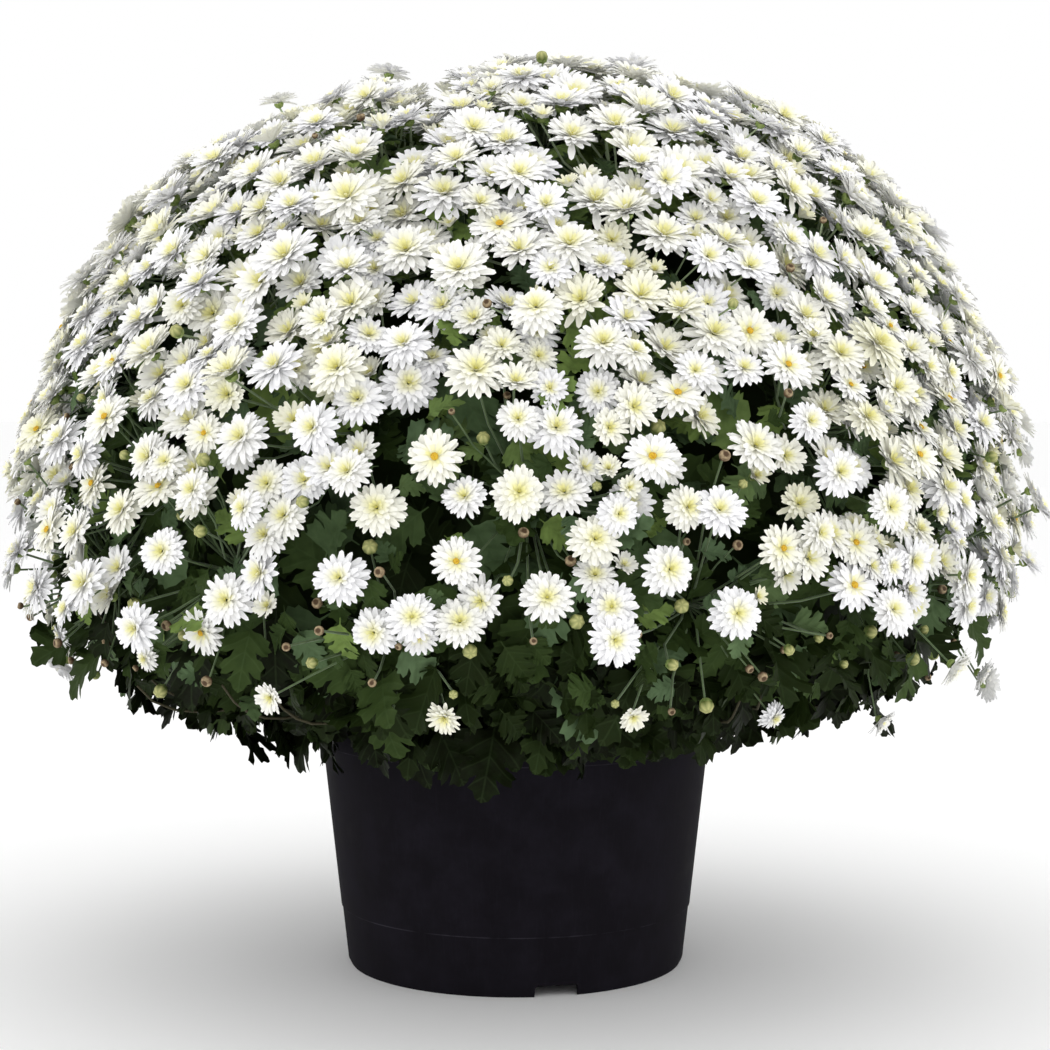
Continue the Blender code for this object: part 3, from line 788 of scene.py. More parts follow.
def peat_finish():
    """Peat compost, crumbled: dark brown fibre, nearly black where it is wet."""
    # Crumbs about 3 mm across
    crumbs = {"Scale": 330.0, "Detail": 6.0, "Roughness": 0.7}
    codes = ("#1E140D", "#5A4431")
    return patterned_finish("peat_compost", 0.95, 1.4, NOISE, crumbs, codes, (0.8, 0.002))


def floor_finish():
    """Pale paper, rolled out: a plain floor whose fine grain hardly shows."""
    codes = ("#FBFBFB", "#FEFEFE")
    return patterned_finish("pale_paper", 0.9, 1.45, NOISE, {"Scale": 900.0}, codes)


# ---- Growth of the plant, by the rules and random draws of the solids' source

def crown_relief(direction):
    """Factor on the dome's size: the stems' crowns stand out, with a furrow between two of them."""
    across = math.sin(WAVES_ACROSS * direction.x + WAVE_START_ACROSS)
    deep = math.sin(WAVES_DEEP * direction.y + WAVE_START_DEEP)
    furrow = math.exp(-(((direction.x - FURROW_PLACE) / FURROW_WIDTH) ** 2))
    sunken = FURROW_DEPTH * furrow + SUNKEN_SHOULDER * max(-direction.x, 0.0)
    return 1.0 + WAVE_HEIGHT * across * deep - sunken * max(direction.z, 0.0)


def dome_reach(direction):
    """Distance from the dome's centre to its surface along a unit direction."""
    across = math.hypot(direction.x, direction.y) / DOME_RADIUS
    rises = direction.z >= 0.0
    power = SHOULDER_POWER if rises else UNDERSIDE_POWER
    along = abs(direction.z) / (DOME_RISE if rises else DOME_DROP)
    return crown_relief(direction) * (across**power + along**power) ** (-1.0 / power)


def dome_point(direction, share=1.0):
    return DOME_CENTRE + direction * dome_reach(direction) * share


def dome_normal(direction):
    """Outward normal of the dome where a ray from its centre leaves it."""
    power = SHOULDER_POWER if direction.z >= 0.0 else UNDERSIDE_POWER
    height = DOME_RISE if direction.z >= 0.0 else DOME_DROP
    across = math.hypot(direction.x, direction.y)
    flat = (across / DOME_RADIUS) ** (power - 1.0) / DOME_RADIUS
    steep = math.copysign((abs(direction.z) / height) ** (power - 1.0) / height, direction.z)
    side = Vector((direction.x, direction.y, 0.0)).normalized() * flat
    return (side + UP * steep).normalized()


def spread_directions(count, lowest):
    """Unit directions spread evenly, like seeds on a head, from straight up to a lowest height."""
    for i in range(count):
        z = 1.0 - (1.0 - lowest) * (i + 0.5) / count
        yield around(i * GOLDEN_ANGLE, math.sqrt(1.0 - z * z), z)


class Bloom:
    """Place, facing and radius of one flower head."""

    def __init__(self, direction, rng, radii, rise, lean=BLOOM_TILT):
        self.radius = rng.uniform(*radii)
        self.direction = (direction + BLOOM_WANDER * random_vector(rng)).normalized()
        normal = dome_normal(self.direction)
        tilt = lean * random_vector(rng)
        self.facing = (normal + BLOOM_LIFT * UP + tilt).normalized()
        self.place = dome_point(self.direction) + normal * rng.uniform(*rise)
        self.main = True
        self.outlying = False

    @property
    def outward(self):
        return (self.place - DOME_CENTRE).normalized()

    @property
    def height(self):
        """Height on the plant, from 0 at the dome's middle to 1 at its top."""
        return max(self.direction.z, 0.0)


def plan_main_blooms():
    rng = random.Random(BLOOM_SEED)
    planned = []
    for i, direction in enumerate(spread_directions(BLOOM_COUNT, LOWEST_BLOOM)):
        bloom = Bloom(direction, rng, BLOOM_RADIUS, BLOOM_RISE)
        if direction.z > SPARSE_BELOW or i % SPARSE_STEP == 0:
            planned.append(bloom)
    for bloom in planned:
        nearest = min((bloom.place - other.place).length for other in planned if other is not bloom)
        bloom.radius = min(bloom.radius, 0.5 * nearest - SOLID_GAP)
    return planned


def nearest_index(bloom, middles):
    return max(range(len(middles)), key=lambda k: bloom.outward.dot(middles[k]))


def nearest_groups(blooms, middles):
    groups = [[] for _ in middles]
    for bloom in blooms:
        groups[nearest_index(bloom, middles)].append(bloom)
    return [group for group in groups if group]


def middle_of(group):
    return sum((bloom.outward for bloom in group), Vector()).normalized()


def group_into_sprays(blooms):
    """Each bloom joins the nearest spray, and each spray then moves to the middle of its blooms."""
    groups = nearest_groups(blooms, list(spread_directions(SPRAY_COUNT, LOWEST_SPRAY)))
    for _ in range(REGROUPINGS):
        groups = nearest_groups(blooms, [middle_of(group) for group in groups])
    return groups


# ---- Blooms that only the looks have

def density(place):
    """How closely the smaller blooms stand at a place: in patches, and less under the shoulder."""
    patch = noise.noise(place * PATCHES_IN_METRE)
    height = clamp((place.z - DENSITY_MIDDLE) / DENSITY_REACH, DENSITY_LOWEST)
    share = DENSITY + DENSITY_PATCHES * patch + DENSITY_UP * height + DENSITY_RIGHT * place.x
    return min(1.0, share)


def fill_bloom(direction, rng):
    strays = direction.z < STRAY_HIGHEST and rng.random() < STRAY_SHARE
    bloom = Bloom(direction, rng, FILL_RADIUS, STRAY_RISE if strays else FILL_RISE, FILL_TILT)
    bloom.radius *= 1.0 + CROWN_GROWTH * bloom.height
    shoulder = math.sin(math.pi * clamp((bloom.direction.z - SHOULDER_FROM) / SHOULDER_REACH))
    bloom.place += UP * SHOULDER_RISE * shoulder
    bloom.main = False
    return bloom


def outlying_bloom(place, rng):
    direction = (Vector(place) - DOME_CENTRE).normalized()
    bloom = Bloom(direction, rng, OUTLYING_RADIUS, FILL_RISE, FILL_TILT)
    bloom.place = Vector(place)
    bloom.main = False
    bloom.outlying = True
    return bloom


def plan_fill_blooms(main_blooms):
    """Smaller and younger blooms between the main ones, wherever there is room."""
    rng = random.Random(FILL_SEED)
    placed = list(main_blooms)
    filled = []
    tries = list(spread_directions(FILL_TRIES, FILL_LOWEST))
    rng.shuffle(tries)
    for direction in tries:
        bloom = fill_bloom(direction, rng)
        crowding = FILL_CROWDING - CROWN_CROWDING * bloom.height
        wanted = rng.random() < density(bloom.place)
        if wanted and all(
            (bloom.place - other.place).length > crowding * (bloom.radius + other.radius)
            for other in placed
        ):
            placed.append(bloom)
            filled.append(bloom)
    return filled + [outlying_bloom(place, rng) for place in OUTLYING]


# ---- Models of the parts, each made once

def floret_model(ring, extra_rise):
    """A ray floret: the far edge of a small plane is drawn out step by step to the tip."""
    columns = 2 if ring.cup > 0.0 else 1
    floret = new_piece(
        "floret",
        bpy.ops.mesh.primitive_grid_add,
        x_subdivisions=columns,
        y_subdivisions=1,
        size=1.0,
    )
    steps = []
    for length, rise, _ in ring.steps:
        turn = math.radians(rise + extra_rise)
        steps.append(Vector((0.0, length * math.cos(turn), length * math.sin(turn))))
    rows = [Vector(ORIGIN), steps[0]]
    width = ring.steps[0][2]
    begin_edit(floret)
    pick(floret, lambda co: co.y < 0.0)
    move(y=0.5)
    scale_about(ORIGIN, x=FLORET_FOOT_SHARE * width)
    pick(floret, lambda co: co.y > 0.4)
    move(y=rows[1].y - 0.5, z=rows[1].z)
    scale_about(rows[1], x=width)
    for step, (_, _, next_width) in zip(steps[1:], ring.steps[1:]):
        pick(floret, lambda co: (co.yz - rows[-1].yz).length < 1e-4)
        draw_out(*step)
        rows.append(rows[-1] + step)
        scale_about(rows[-1], x=next_width / width)
        width = next_width
    end_edit()
    last = len(rows) - 1

    def along(co):
        return min(range(len(rows)), key=lambda k: (co.yz - rows[k].yz).length) / last

    widest = 0.5 * max(step[2] for step in ring.steps)
    foot_tone, tip_tone = ring.tones
    set_map(floret, lambda co: (0.5 + 0.5 * co.x / widest, along(co)))
    set_tone(floret, lambda co, _: foot_tone + (tip_tone - foot_tone) * along(co) ** 0.7)
    if columns == 2:
        sunken = Vector((0.0, 0.0, ring.cup))
        tip = (rows[-1] - rows[-2]).normalized() * FLORET_TIP_REACH
        begin_edit(floret)
        pick(floret, lambda co: abs(co.x) < 1e-5)
        move(z=-ring.cup)
        pick(floret, lambda co: abs(co.x) < 1e-5 and along(co + sunken) > 0.99)
        move(y=tip.y, z=tip.z)
        end_edit()
    smooth(floret)
    return floret


def disc_model(radius, height, golden, finishes):
    """Domed middle of a flower head."""
    disc = new_piece(
        "disc",
        bpy.ops.mesh.primitive_uv_sphere_add,
        segments=9 if golden else 6,
        ring_count=4,
        radius=radius,
    )
    begin_edit(disc)
    pick(disc, lambda co: co.z < -0.1 * radius)
    bpy.ops.mesh.delete(type="VERT")
    pick_all()
    scale_about(ORIGIN, z=0.6)
    move(z=height)
    if golden:
        # Part of the florets of a golden disc are not open yet, so its edge is uneven
        pick(disc, lambda co: bearing(co) % 80 == 0)
        scale_about(ORIGIN, x=0.62, y=0.62)
    end_edit()
    smooth(disc)
    paint(disc, finishes["disc"] if golden else finishes["petal"])
    set_tone(disc, lambda co, _: DISC_TONE)
    return disc


def bloom_model(name, kind, rng, finishes):
    """A flower head of radius 1: each ring's floret is modelled once and copied round it."""
    parts = []
    for ring, change in zip(RINGS, kind.rings):
        if change is None:
            continue
        share, extra_rise = change
        model = floret_model(ring, extra_rise)
        paint(model, finishes["petal"])
        count = round(ring.florets * share)
        first = rng.uniform(0.0, 2.0 * math.pi)
        for k in range(count):
            pitch = rng.gauss(0.0, 5.0)
            stretch = rng.uniform(0.92, 1.05)
            if rng.random() < DROOPING_FLORETS:
                pitch += DROOP_DEG
                stretch += DROOP_STRETCH
            turn = first + 2.0 * math.pi * (k + rng.uniform(-0.16, 0.16)) / count
            matrix = (
                Matrix.Rotation(turn, 4, "Z")
                @ Matrix.Translation((0.0, ring.foot, ring.height))
                @ Matrix.Rotation(math.radians(pitch), 4, "X")
                @ Matrix.Rotation(math.radians(rng.uniform(-12.0, 12.0)), 4, "Y")
                @ Matrix.Diagonal((rng.uniform(0.92, 1.1), stretch, stretch, 1.0))
            )
            parts.append(copy_of(model, matrix))
        remove([model])
    parts.append(disc_model(kind.disc_radius, kind.disc_height, kind.golden, finishes))
    head = join(name, parts)
    set_tone(head, lambda co, tone: tone + (kind.tone if tone < 1.05 else 0.0))
    return head


def calyx_model(finishes):
    """Cup of green bracts under a flower head of radius 1, with pointed tips."""
    cup = new_piece(
        "calyx",
        bpy.ops.mesh.primitive_circle_add,
        vertices=8,
        radius=0.055,
        fill_type="NOTHING",
        location=(0.0, 0.0, -0.33),
    )
    begin_edit(cup)
    pick_all()
    draw_out(z=0.07)
    scale_about((0.0, 0.0, -0.26), x=3.4, y=3.4)
    draw_out(z=0.15)
    scale_about((0.0, 0.0, -0.11), x=1.35, y=1.35)
    pick(cup, lambda co: co.z > -0.12 and bearing(co) % 90 == 0)
    move(z=0.05)
    end_edit()
    smooth(cup)
    paint(cup, finishes["bract"])
    return cup


def closed_bud_model(finishes):
    """Furled bud of radius 1: a pressed ball with the edges of its florets as ridges."""
    ball = new_piece(
        "bud", bpy.ops.mesh.primitive_uv_sphere_add, segments=12, ring_count=7, radius=1.0
    )
    begin_edit(ball)
    pick(ball, lambda co: co.z > 0.5)
    scale_about(ORIGIN, z=0.80)
    pick(ball, lambda co: co.z > -0.2 and bearing(co) % 60 == 0)
    scale_about(ORIGIN, x=0.88, y=0.88)
    pick(ball, lambda co: co.z > 0.75)
    move(z=-0.16)
    end_edit()
    smooth(ball)
    # The six sunken grooves are painted darker, as painted shade; elsewhere the tone runs from
    # green at the foot to cream above
    set_tone(ball, lambda co, _: clamp(0.2 + 0.5 * co.z + (0.3 if bearing(co) % 60 else -0.1)))
    paint(ball, finishes["bud"])
    return ball


def spent_bud_model(finishes):
    """Dried bud of radius 1: a shrunken ball with a sunken dark eye."""
    ball = new_piece(
        "spent", bpy.ops.mesh.primitive_uv_sphere_add, segments=10, ring_count=7, radius=1.0
    )
    begin_edit(ball)
    pick(ball, lambda co: co.z > 0.4)
    scale_about((0.0, 0.0, 0.9), x=0.9, y=0.9)
    pick(ball, lambda co: co.z > 0.85)
    scale_about((0.0, 0.0, 0.9), x=0.7, y=0.7)
    move(z=-0.35)
    pick(ball, lambda co: 0.0 < co.z < 0.85 and bearing(co) % 72 == 0)
    scale_about(ORIGIN, x=0.86, y=0.86)
    end_edit()
    smooth(ball)
    set_tone(ball, lambda co, _: 0.0 if co.xy.length < 0.32 and co.z > 0.0 else 0.35 + 0.5 * co.z)
    paint(ball, finishes["spent"])
    return ball


def flat_leaf():
    """A lobed leaf of length 1: half of its edge is drawn, filled and mirrored."""
    edge = [(side, along, 0.0) for side, along in LEAF_EDGE]
    rib = [(0.0, along, 0.0) for along in LEAF_RIB]
    leaf = drawn_line("leaf", [*edge, *rib])
    begin_edit(leaf)
    pick_all()
    bpy.ops.mesh.edge_face_add()
    bpy.ops.mesh.quads_convert_to_tris(ngon_method="BEAUTY")
    bpy.ops.mesh.normals_make_consistent(inside=False)
    end_edit()
    mirror = leaf.modifiers.new("Mirror", "MIRROR")
    mirror.use_clip = True
    mirror.merge_threshold = 0.0005
    apply_modifiers(leaf)
    set_map(leaf, lambda co: (co.x, co.y))
    return leaf


def leaf_models(rng, finishes):
    """Leaves with more or less fold, droop and twist, as they hang on the plant."""
    flat = flat_leaf()
    models = []
    for droop, fold, twist in LEAF_BENDS:
        model = copy_of(flat)
        phase = rng.uniform(0.0, 6.0)
        for point in model.data.vertices:
            x, y = point.co.x, point.co.y
            ripple = LEAF_RIPPLE * math.sin(14.0 * y + phase + 3.0 * x) * abs(x) / 0.4
            point.co.z = fold * abs(x) - droop * y * y + twist * x * y + ripple
            point.co.y = y - 0.35 * droop * droop * y**3
        smooth(model)
        paint(model, finishes["leaf"])
        models.append(model)
    remove([flat])
    return models


def tube_model(sides, rows):
    """An open tube of radius 1 and length 1, in rows, to be bent along a stalk's path."""
    tube = new_piece(
        "tube", bpy.ops.mesh.primitive_circle_add, vertices=sides, radius=1.0, fill_type="NOTHING"
    )
    begin_edit(tube)
    pick_all()
    for _ in range(rows):
        draw_out(z=1.0 / rows)
    end_edit()
    smooth(tube)
    return tube


def bend_along(model, path, radii, finish):
    """A copy of the tube model whose rows follow a cubic path, from one radius to the other."""
    tube = copy_of(model)
    paint(tube, finish)
    rows = {}
    start, pull, push, end = path
    turn = None
    for t in sorted({round(point.co.z, 4) for point in model.data.vertices}):
        s = 1.0 - t
        place = s**3 * start + 3 * s * s * t * pull + 3 * s * t * t * push + t**3 * end
        heading = s * s * (pull - start) + 2 * s * t * (push - pull) + t * t * (end - push)
        heading.normalize()
        if turn is None:
            turn = heading.to_track_quat("Z", "Y")
        else:
            turn = (turn @ UP).rotation_difference(heading) @ turn
        rows[t] = (place, turn.copy(), radii[0] + (radii[1] - radii[0]) * t)
    for point in tube.data.vertices:
        place, quaternion, radius = rows[round(point.co.z, 4)]
        point.co = place + quaternion @ Vector((point.co.x * radius, point.co.y * radius, 0.0))
    return tube


# ---- Sprays, stalks and buds

def kinds_for(bloom):
    """The kinds that a bloom may be, by its place on the plant."""
    if bloom.outlying:
        return OUTLYING_KINDS
    if bloom.direction.z < LOW_BLOOM:
        return LOW_KINDS
    if bloom.direction.z > CROWN_FROM:
        return CROWN_KINDS if bloom.main else CROWN_FILL_KINDS
    return MAIN_KINDS if bloom.main else FILL_KINDS


def settle_in_crown(bloom):
    """Leans a bloom of the crown outwards and lowers it, so that the crown stays even."""
    outward = Vector((bloom.direction.x, bloom.direction.y, CROWN_LEAN_DOWN))
    bloom.facing = (bloom.facing + CROWN_LEAN * outward).normalized()
    rise = max(0.0, bloom.direction.z - CROWN_SEAT_FROM)
    seat = CROWN_SEAT[0] + (CROWN_SEAT[1] - CROWN_SEAT[0]) * rise / CROWN_SEAT_REACH
    bloom.place = bloom.place - bloom.facing * seat * bloom.radius


def place_bloom(bloom, models, rng):
    kinds = kinds_for(bloom)
    if kinds in (CROWN_KINDS, CROWN_FILL_KINDS):
        settle_in_crown(bloom)
    kind = rng.choices(list(kinds), list(kinds.values()))[0]
    if kind.startswith("opening"):
        bloom.radius *= OPENING_SIZE
    radius, oval = bloom.radius, rng.uniform(*BLOOM_OVAL)
    size = Matrix.Diagonal((radius * oval, radius / oval, radius * rng.uniform(*BLOOM_DEPTH), 1.0))
    seat = frame_along(bloom.facing, rng.uniform(*ANY_TURN), bloom.place)
    head = copy_of(models[kind], seat @ size)
    shift = rng.gauss(0.0, TONE_SPREAD)
    set_tone(head, lambda co, tone: max(0.0, tone + shift))
    return head


def thin_stalk(root, outward, seat, facing, tube, finishes):
    """A pedicel that leaves its root outwards and reaches the seat against its facing."""
    reach = (seat - root).length
    path = (root, root + outward * 0.35 * reach, seat - facing * 0.3 * reach, seat)
    return bend_along(tube, path, PEDICEL_RADIUS, finishes["stalk"])


def grow_stalk(bloom, outward, top, tube, calyx, rng, finishes):
    """Pedicel from its spray's peduncle to the bloom, and the cup of bracts under the bloom."""
    seat = bloom.place - bloom.facing * CUP_SEAT * bloom.radius
    root = top - outward * rng.uniform(*PEDICEL_DEPTH)
    pedicel = thin_stalk(root, outward, seat, bloom.facing, tube, finishes)
    under = frame_along(bloom.facing, rng.uniform(*ANY_TURN), bloom.place)
    return [pedicel, copy_of(calyx, under @ Matrix.Scale(bloom.radius, 4))]


def add_buds(stalks, blooms, middles, tube, calyx, finishes):
    """Closed and spent buds in the room between the blooms, each on its own pedicel."""
    rng = random.Random(BUD_SEED)
    closed, spent = closed_bud_model(finishes), spent_bud_model(finishes)
    placed = 0
    tries = list(spread_directions(BUD_TRIES, BUD_LOWEST))
    rng.shuffle(tries)
    for direction in tries:
        if placed >= BUD_COUNT:
            break
        direction = (direction + BUD_WANDER * random_vector(rng)).normalized()
        normal = dome_normal(direction)
        place = dome_point(direction) + normal * rng.uniform(*BUD_DEPTH)
        radius = rng.uniform(*BUD_SIZE)
        if any(
            (place - bloom.place).length < BUD_CROWDING * bloom.radius + radius for bloom in blooms
        ):
            continue
        outward = max(middles, key=direction.dot)
        root = dome_point(outward) - outward * (KNOT_DEPTH + rng.uniform(*PEDICEL_DEPTH))
        facing = (normal + 0.3 * UP + 0.35 * random_vector(rng)).normalized()
        model = spent if rng.random() < SPENT_SHARE else closed
        radius *= SPENT_SIZE if model is spent else CLOSED_SIZE
        seat = place - facing * radius * 0.9
        matrix = frame_along(facing, rng.uniform(*ANY_TURN), place) @ Matrix.Scale(radius, 4)
        parts = [thin_stalk(root, outward, seat, facing, tube, finishes), copy_of(model, matrix)]
        if model is closed:
            parts.append(copy_of(calyx, matrix @ Matrix.Scale(BUD_CUP, 4)))
        stalks[sector_of(root, STALK_SECTORS)] += parts
        placed += 1
    remove([closed, spent])


def make_sprays(finishes):
    """The blooms of each spray as one piece, and all stalks, bracts and buds by sector."""
    rng = random.Random(FILL_SEED + 1)
    models = {name: bloom_model(name, kind, rng, finishes) for name, kind in KINDS.items()}
    calyx = calyx_model(finishes)
    tube = tube_model(*STALK_TUBE)
    main_blooms = plan_main_blooms()
    groups = group_into_sprays(main_blooms)
    for bloom in main_blooms:
        bloom.radius *= TRUE_SIZE + CROWN_GROWTH * bloom.height
        if bloom.direction.z < LOW_BLOOM:
            bloom.radius *= LOW_GROWTH
    fill_blooms = plan_fill_blooms(main_blooms)
    middles = [middle_of(group) for group in groups]
    for bloom in fill_blooms:
        groups[nearest_index(bloom, middles)].append(bloom)
    stalks = [[] for _ in range(STALK_SECTORS)]
    node_names = [[] for _ in range(STALK_SECTORS)]
    for number, (outward, blooms) in enumerate(zip(middles, groups), 1):
        top = dome_point(outward) - outward * KNOT_DEPTH
        foot = dome_point(outward, CORE_SHARE - 0.02)
        sector = sector_of(top, STALK_SECTORS)
        node = f"flower_spray_{number:02d}"
        node_names[sector].append(node)
        path = (foot, foot.lerp(top, 0.3), foot.lerp(top, 0.7), top)
        stalks[sector].append(bend_along(tube, path, PEDUNCLE_RADIUS, finishes["stalk"]))
        heads = []
        for bloom in blooms:
            heads.append(place_bloom(bloom, models, rng))
            stalks[sector] += grow_stalk(bloom, outward, top, tube, calyx, rng, finishes)
        finish_piece(join(f"blooms_{number:02d}", heads), "petal_white", node)
    add_buds(stalks, main_blooms + fill_blooms, middles, tube, calyx, finishes)
    for number, (parts, nodes) in enumerate(zip(stalks, node_names), 1):
        finish_piece(join(f"stalks_{number:02d}", parts), "leaf_green", *nodes)
    remove([*models.values(), calyx, tube])
    return middles


# ---- Leaves and woody stems

def make_core(finishes):
    """Close mass of inner leaves and twigs, seen only as depth between the leaves, with a dark tone
    as painted shade.
    """
    core = new_piece(
        "inner_foliage", bpy.ops.mesh.primitive_ico_sphere_add, subdivisions=5, radius=1.0
    )
    for point in core.data.vertices:
        direction = point.co.normalized()
        place = dome_point(direction, CORE_SHARE - CORE_INSET)
        place.z = max(place.z, CORE_FLOOR + CORE_FLOOR_SLOPE * place.xy.length)
        point.co = place + direction * CORE_LUMP * lumps(place, CORE_LUMPS)
    smooth(core)
    paint(core, finishes["leaf"])
    set_tone(core, lambda co, _: CORE_PAINTED_SHADE)
    finish_piece(core, "leaf_green", "leafy_bush")
    corners = [point.co for point in core.data.vertices]
    return BVHTree.FromPolygons(corners, [face.vertices for face in core.data.polygons])


def hem_height(place):
    """Lowest height that the leaves of the skirt reach at a place."""
    wave = noise.noise(place * HEM_WAVES_IN_METRE)
    return HEM + HEM_SLOPE * (place.xy.length - RIM_RADIUS) + HEM_WAVE * wave


def lift_to_hem(root, axis, length):
    tip = root + axis * length
    root.z += max(0.0, hem_height(tip) - tip.z)


class Foliage:
    """The leaves by sectors of the plant, copied from models of a leaf."""

    def __init__(self, rng, finishes):
        self.rng = rng
        self.models = leaf_models(rng, finishes)
        self.sectors = [[] for _ in range(LEAF_SECTORS)]

    def grow(self, root, axis, face, length, tone, setback=0.0):
        matrix = leaf_frame(root - axis * setback, axis, face, length)
        leaf = copy_of(self.rng.choice(self.models), matrix)
        shade = clamp(tone + self.rng.gauss(0.0, LEAF_TONE_SPREAD))
        set_tone(leaf, lambda co, _: shade)
        self.sectors[sector_of(root, LEAF_SECTORS)].append(leaf)


def grow_gap_leaf(direction, layer, foliage, rng):
    """A leaf between the blooms, in one of the layers."""
    _, shares, lengths, tone, _ = layer
    direction = (direction + LEAF_WANDER * random_vector(rng)).normalized()
    normal = dome_normal(direction)
    height = max(direction.z, 0.0)
    root = dome_point(direction, rng.uniform(*shares) + CROWN_NEARER * height)
    root.z = max(root.z, LEAF_FLOOR)
    lean = random_vector(rng).cross(normal).normalized()
    axis = (0.85 * lean + 0.45 * normal - 0.15 * UP).normalized()
    face = (0.8 * normal + 0.45 * UP + 0.35 * random_vector(rng)).normalized()
    length = rng.uniform(*lengths)
    lift_to_hem(root, axis, length)
    # Painted light lifts the crown's leaves and painted shade darkens the low ones; young leaves
    # are lighter in their own colour
    light_shade_and_youth = GAP_LIGHTER + CROWN_PAINTED_LIGHT * height + LOW_PAINTED_SHADE * min(direction.z, 0.0)
    if rng.random() < YOUNG_LEAVES:
        light_shade_and_youth += YOUNG_LIGHTER
    foliage.grow(root, axis, face, length, tone + light_shade_and_youth, LEAF_SETBACK)


def grow_skirt_leaf(turn, foliage, rng):
    """A leaf that falls outwards over the rim, in places where the skirt isn't broken."""
    outward = around(turn)
    depth, share = rng.uniform(*SKIRT_DEPTH), rng.random()
    if noise.noise(outward * SKIRT_BREAKS) + SKIRT_BREAK_OUTWARD * share > SKIRT_BREAK_FROM:
        return
    direction = outward * math.sqrt(1.0 - depth * depth) + UP * depth
    root = dome_point(direction, between(SKIRT_SHARE, share))
    root.z = max(root.z, SKIRT_FLOOR)
    fall = UP * rng.uniform(0.4, 1.1)
    axis = (outward * rng.uniform(0.0, 0.9) - fall + 0.5 * random_vector(rng)).normalized()
    face = (outward + 0.5 * UP + 0.6 * random_vector(rng)).normalized()
    length = rng.uniform(*SKIRT_LENGTH)
    if rng.random() < SKIRT_LONG_SHARE:
        length *= SKIRT_LONGER
    root.z += SKIRT_LIFT
    hangs = rng.random() <= HANGING_SHARE
    if not hangs or (root + axis * length).xy.length > HANGING_REACH:
        lift_to_hem(root, axis, length)
    # Deeper leaves get the darker tone, as painted shade
    foliage.grow(root, axis, face, length, between(SKIRT_PAINTED_SHADE_TONE, share))


def grow_knot_leaf(outward, foliage, rng):
    """A small leaf where the stalks of a spray part."""
    root = dome_point(outward) - outward * (KNOT_DEPTH + rng.uniform(*KNOT_LEAF_SPREAD))
    side = random_vector(rng).cross(outward).normalized()
    axis = (side + rng.uniform(0.3, 1.1) * outward).normalized()
    face = (outward + 0.4 * UP + 0.4 * random_vector(rng)).normalized()
    foliage.grow(root, axis, face, rng.uniform(*KNOT_LEAF_LENGTH), KNOT_TONE)


def make_leaves(middles, finishes):
    rng = random.Random(LEAF_SEED)
    foliage = Foliage(rng, finishes)
    for layer in LEAF_LAYERS:
        for direction in spread_directions(layer[0], layer[-1]):
            grow_gap_leaf(direction, layer, foliage, rng)
    for k in range(SKIRT_LEAVES):
        turn = 2.0 * math.pi * (k + rng.uniform(-0.5, 0.5)) / SKIRT_LEAVES
        grow_skirt_leaf(turn, foliage, rng)
    for outward in middles:
        for _ in range(KNOT_LEAVES):
            grow_knot_leaf(outward, foliage, rng)
    remove(foliage.models)
    for number, leaves in enumerate(foliage.sectors, 1):
        finish_piece(join(f"leaves_{number:02d}", leaves), "leaf_green", "leafy_bush")


def make_woody_stems(core_tree, finishes):
    """Stems from the soil into the bush, and branches that spread from them under the leaves."""
    rng = random.Random(WOODY_SEED)
    tube = tube_model(*WOODY_TUBE)
    parts = []
    feet = []
    for k in range(WOODY_STEMS):
        foot = around(2.0 * math.pi * (k + 0.35) / WOODY_STEMS, WOODY_CIRCLE, WOODY_FOOT)
        top = Vector((foot.x, foot.y, WOODY_TOP))
        feet.append(foot)
        path = (foot, foot.lerp(top, 0.33), foot.lerp(top, 0.66), top)
        parts.append(bend_along(tube, path, (WOODY_RADIUS, WOODY_RADIUS * 0.9), finishes["bark"]))
    for k in range(BRANCHES):
        outward = around(2.0 * math.pi * (k + rng.uniform(-0.3, 0.3)) / BRANCHES)
        foot = max(feet, key=lambda place: place.xy.dot(outward.xy))
        start = Vector((foot.x, foot.y, rng.uniform(*BRANCH_FOOT)))
        end, _, _, _ = core_tree.ray_cast(outward * rng.uniform(*BRANCH_REACH) + UP * 0.1, UP)
        end = end + UP * 0.01
        path = (start, start + outward * 0.05 + UP * 0.015, end - outward * 0.06 - UP * 0.02, end)
        parts.append(bend_along(tube, path, BRANCH_RADIUS, finishes["bark"]))
    for k in range(TWIGS):
        outward = around(2.0 * math.pi * (k + rng.uniform(-0.4, 0.4)) / TWIGS)
        if abs(outward.x) < TWIG_SIDES_FROM:
            continue
        start, end = (
            outward * rng.uniform(*reaches) + UP * rng.uniform(*heights)
            for reaches, heights in (TWIG_STARTS, TWIG_ENDS)
        )
        end += TWIG_SWAY * outward.cross(UP) * rng.uniform(-1.0, 1.0)
        path = (start, start + outward * 0.045 - UP * 0.008, end - outward * 0.02 - UP * 0.03, end)
        parts.append(bend_along(tube, path, TWIG_RADIUS, finishes["bark"]))
    remove([tube])
    finish_piece(join("woody_stems", parts), "leaf_green", "leafy_bush")


# ---- Pot and soil

def wall_radius(height):
    under_rim = RIM_RADIUS - RIM_STEP
    return FOOT_RADIUS + (under_rim - FOOT_RADIUS) * height / (POT_HEIGHT - RIM_BAND)


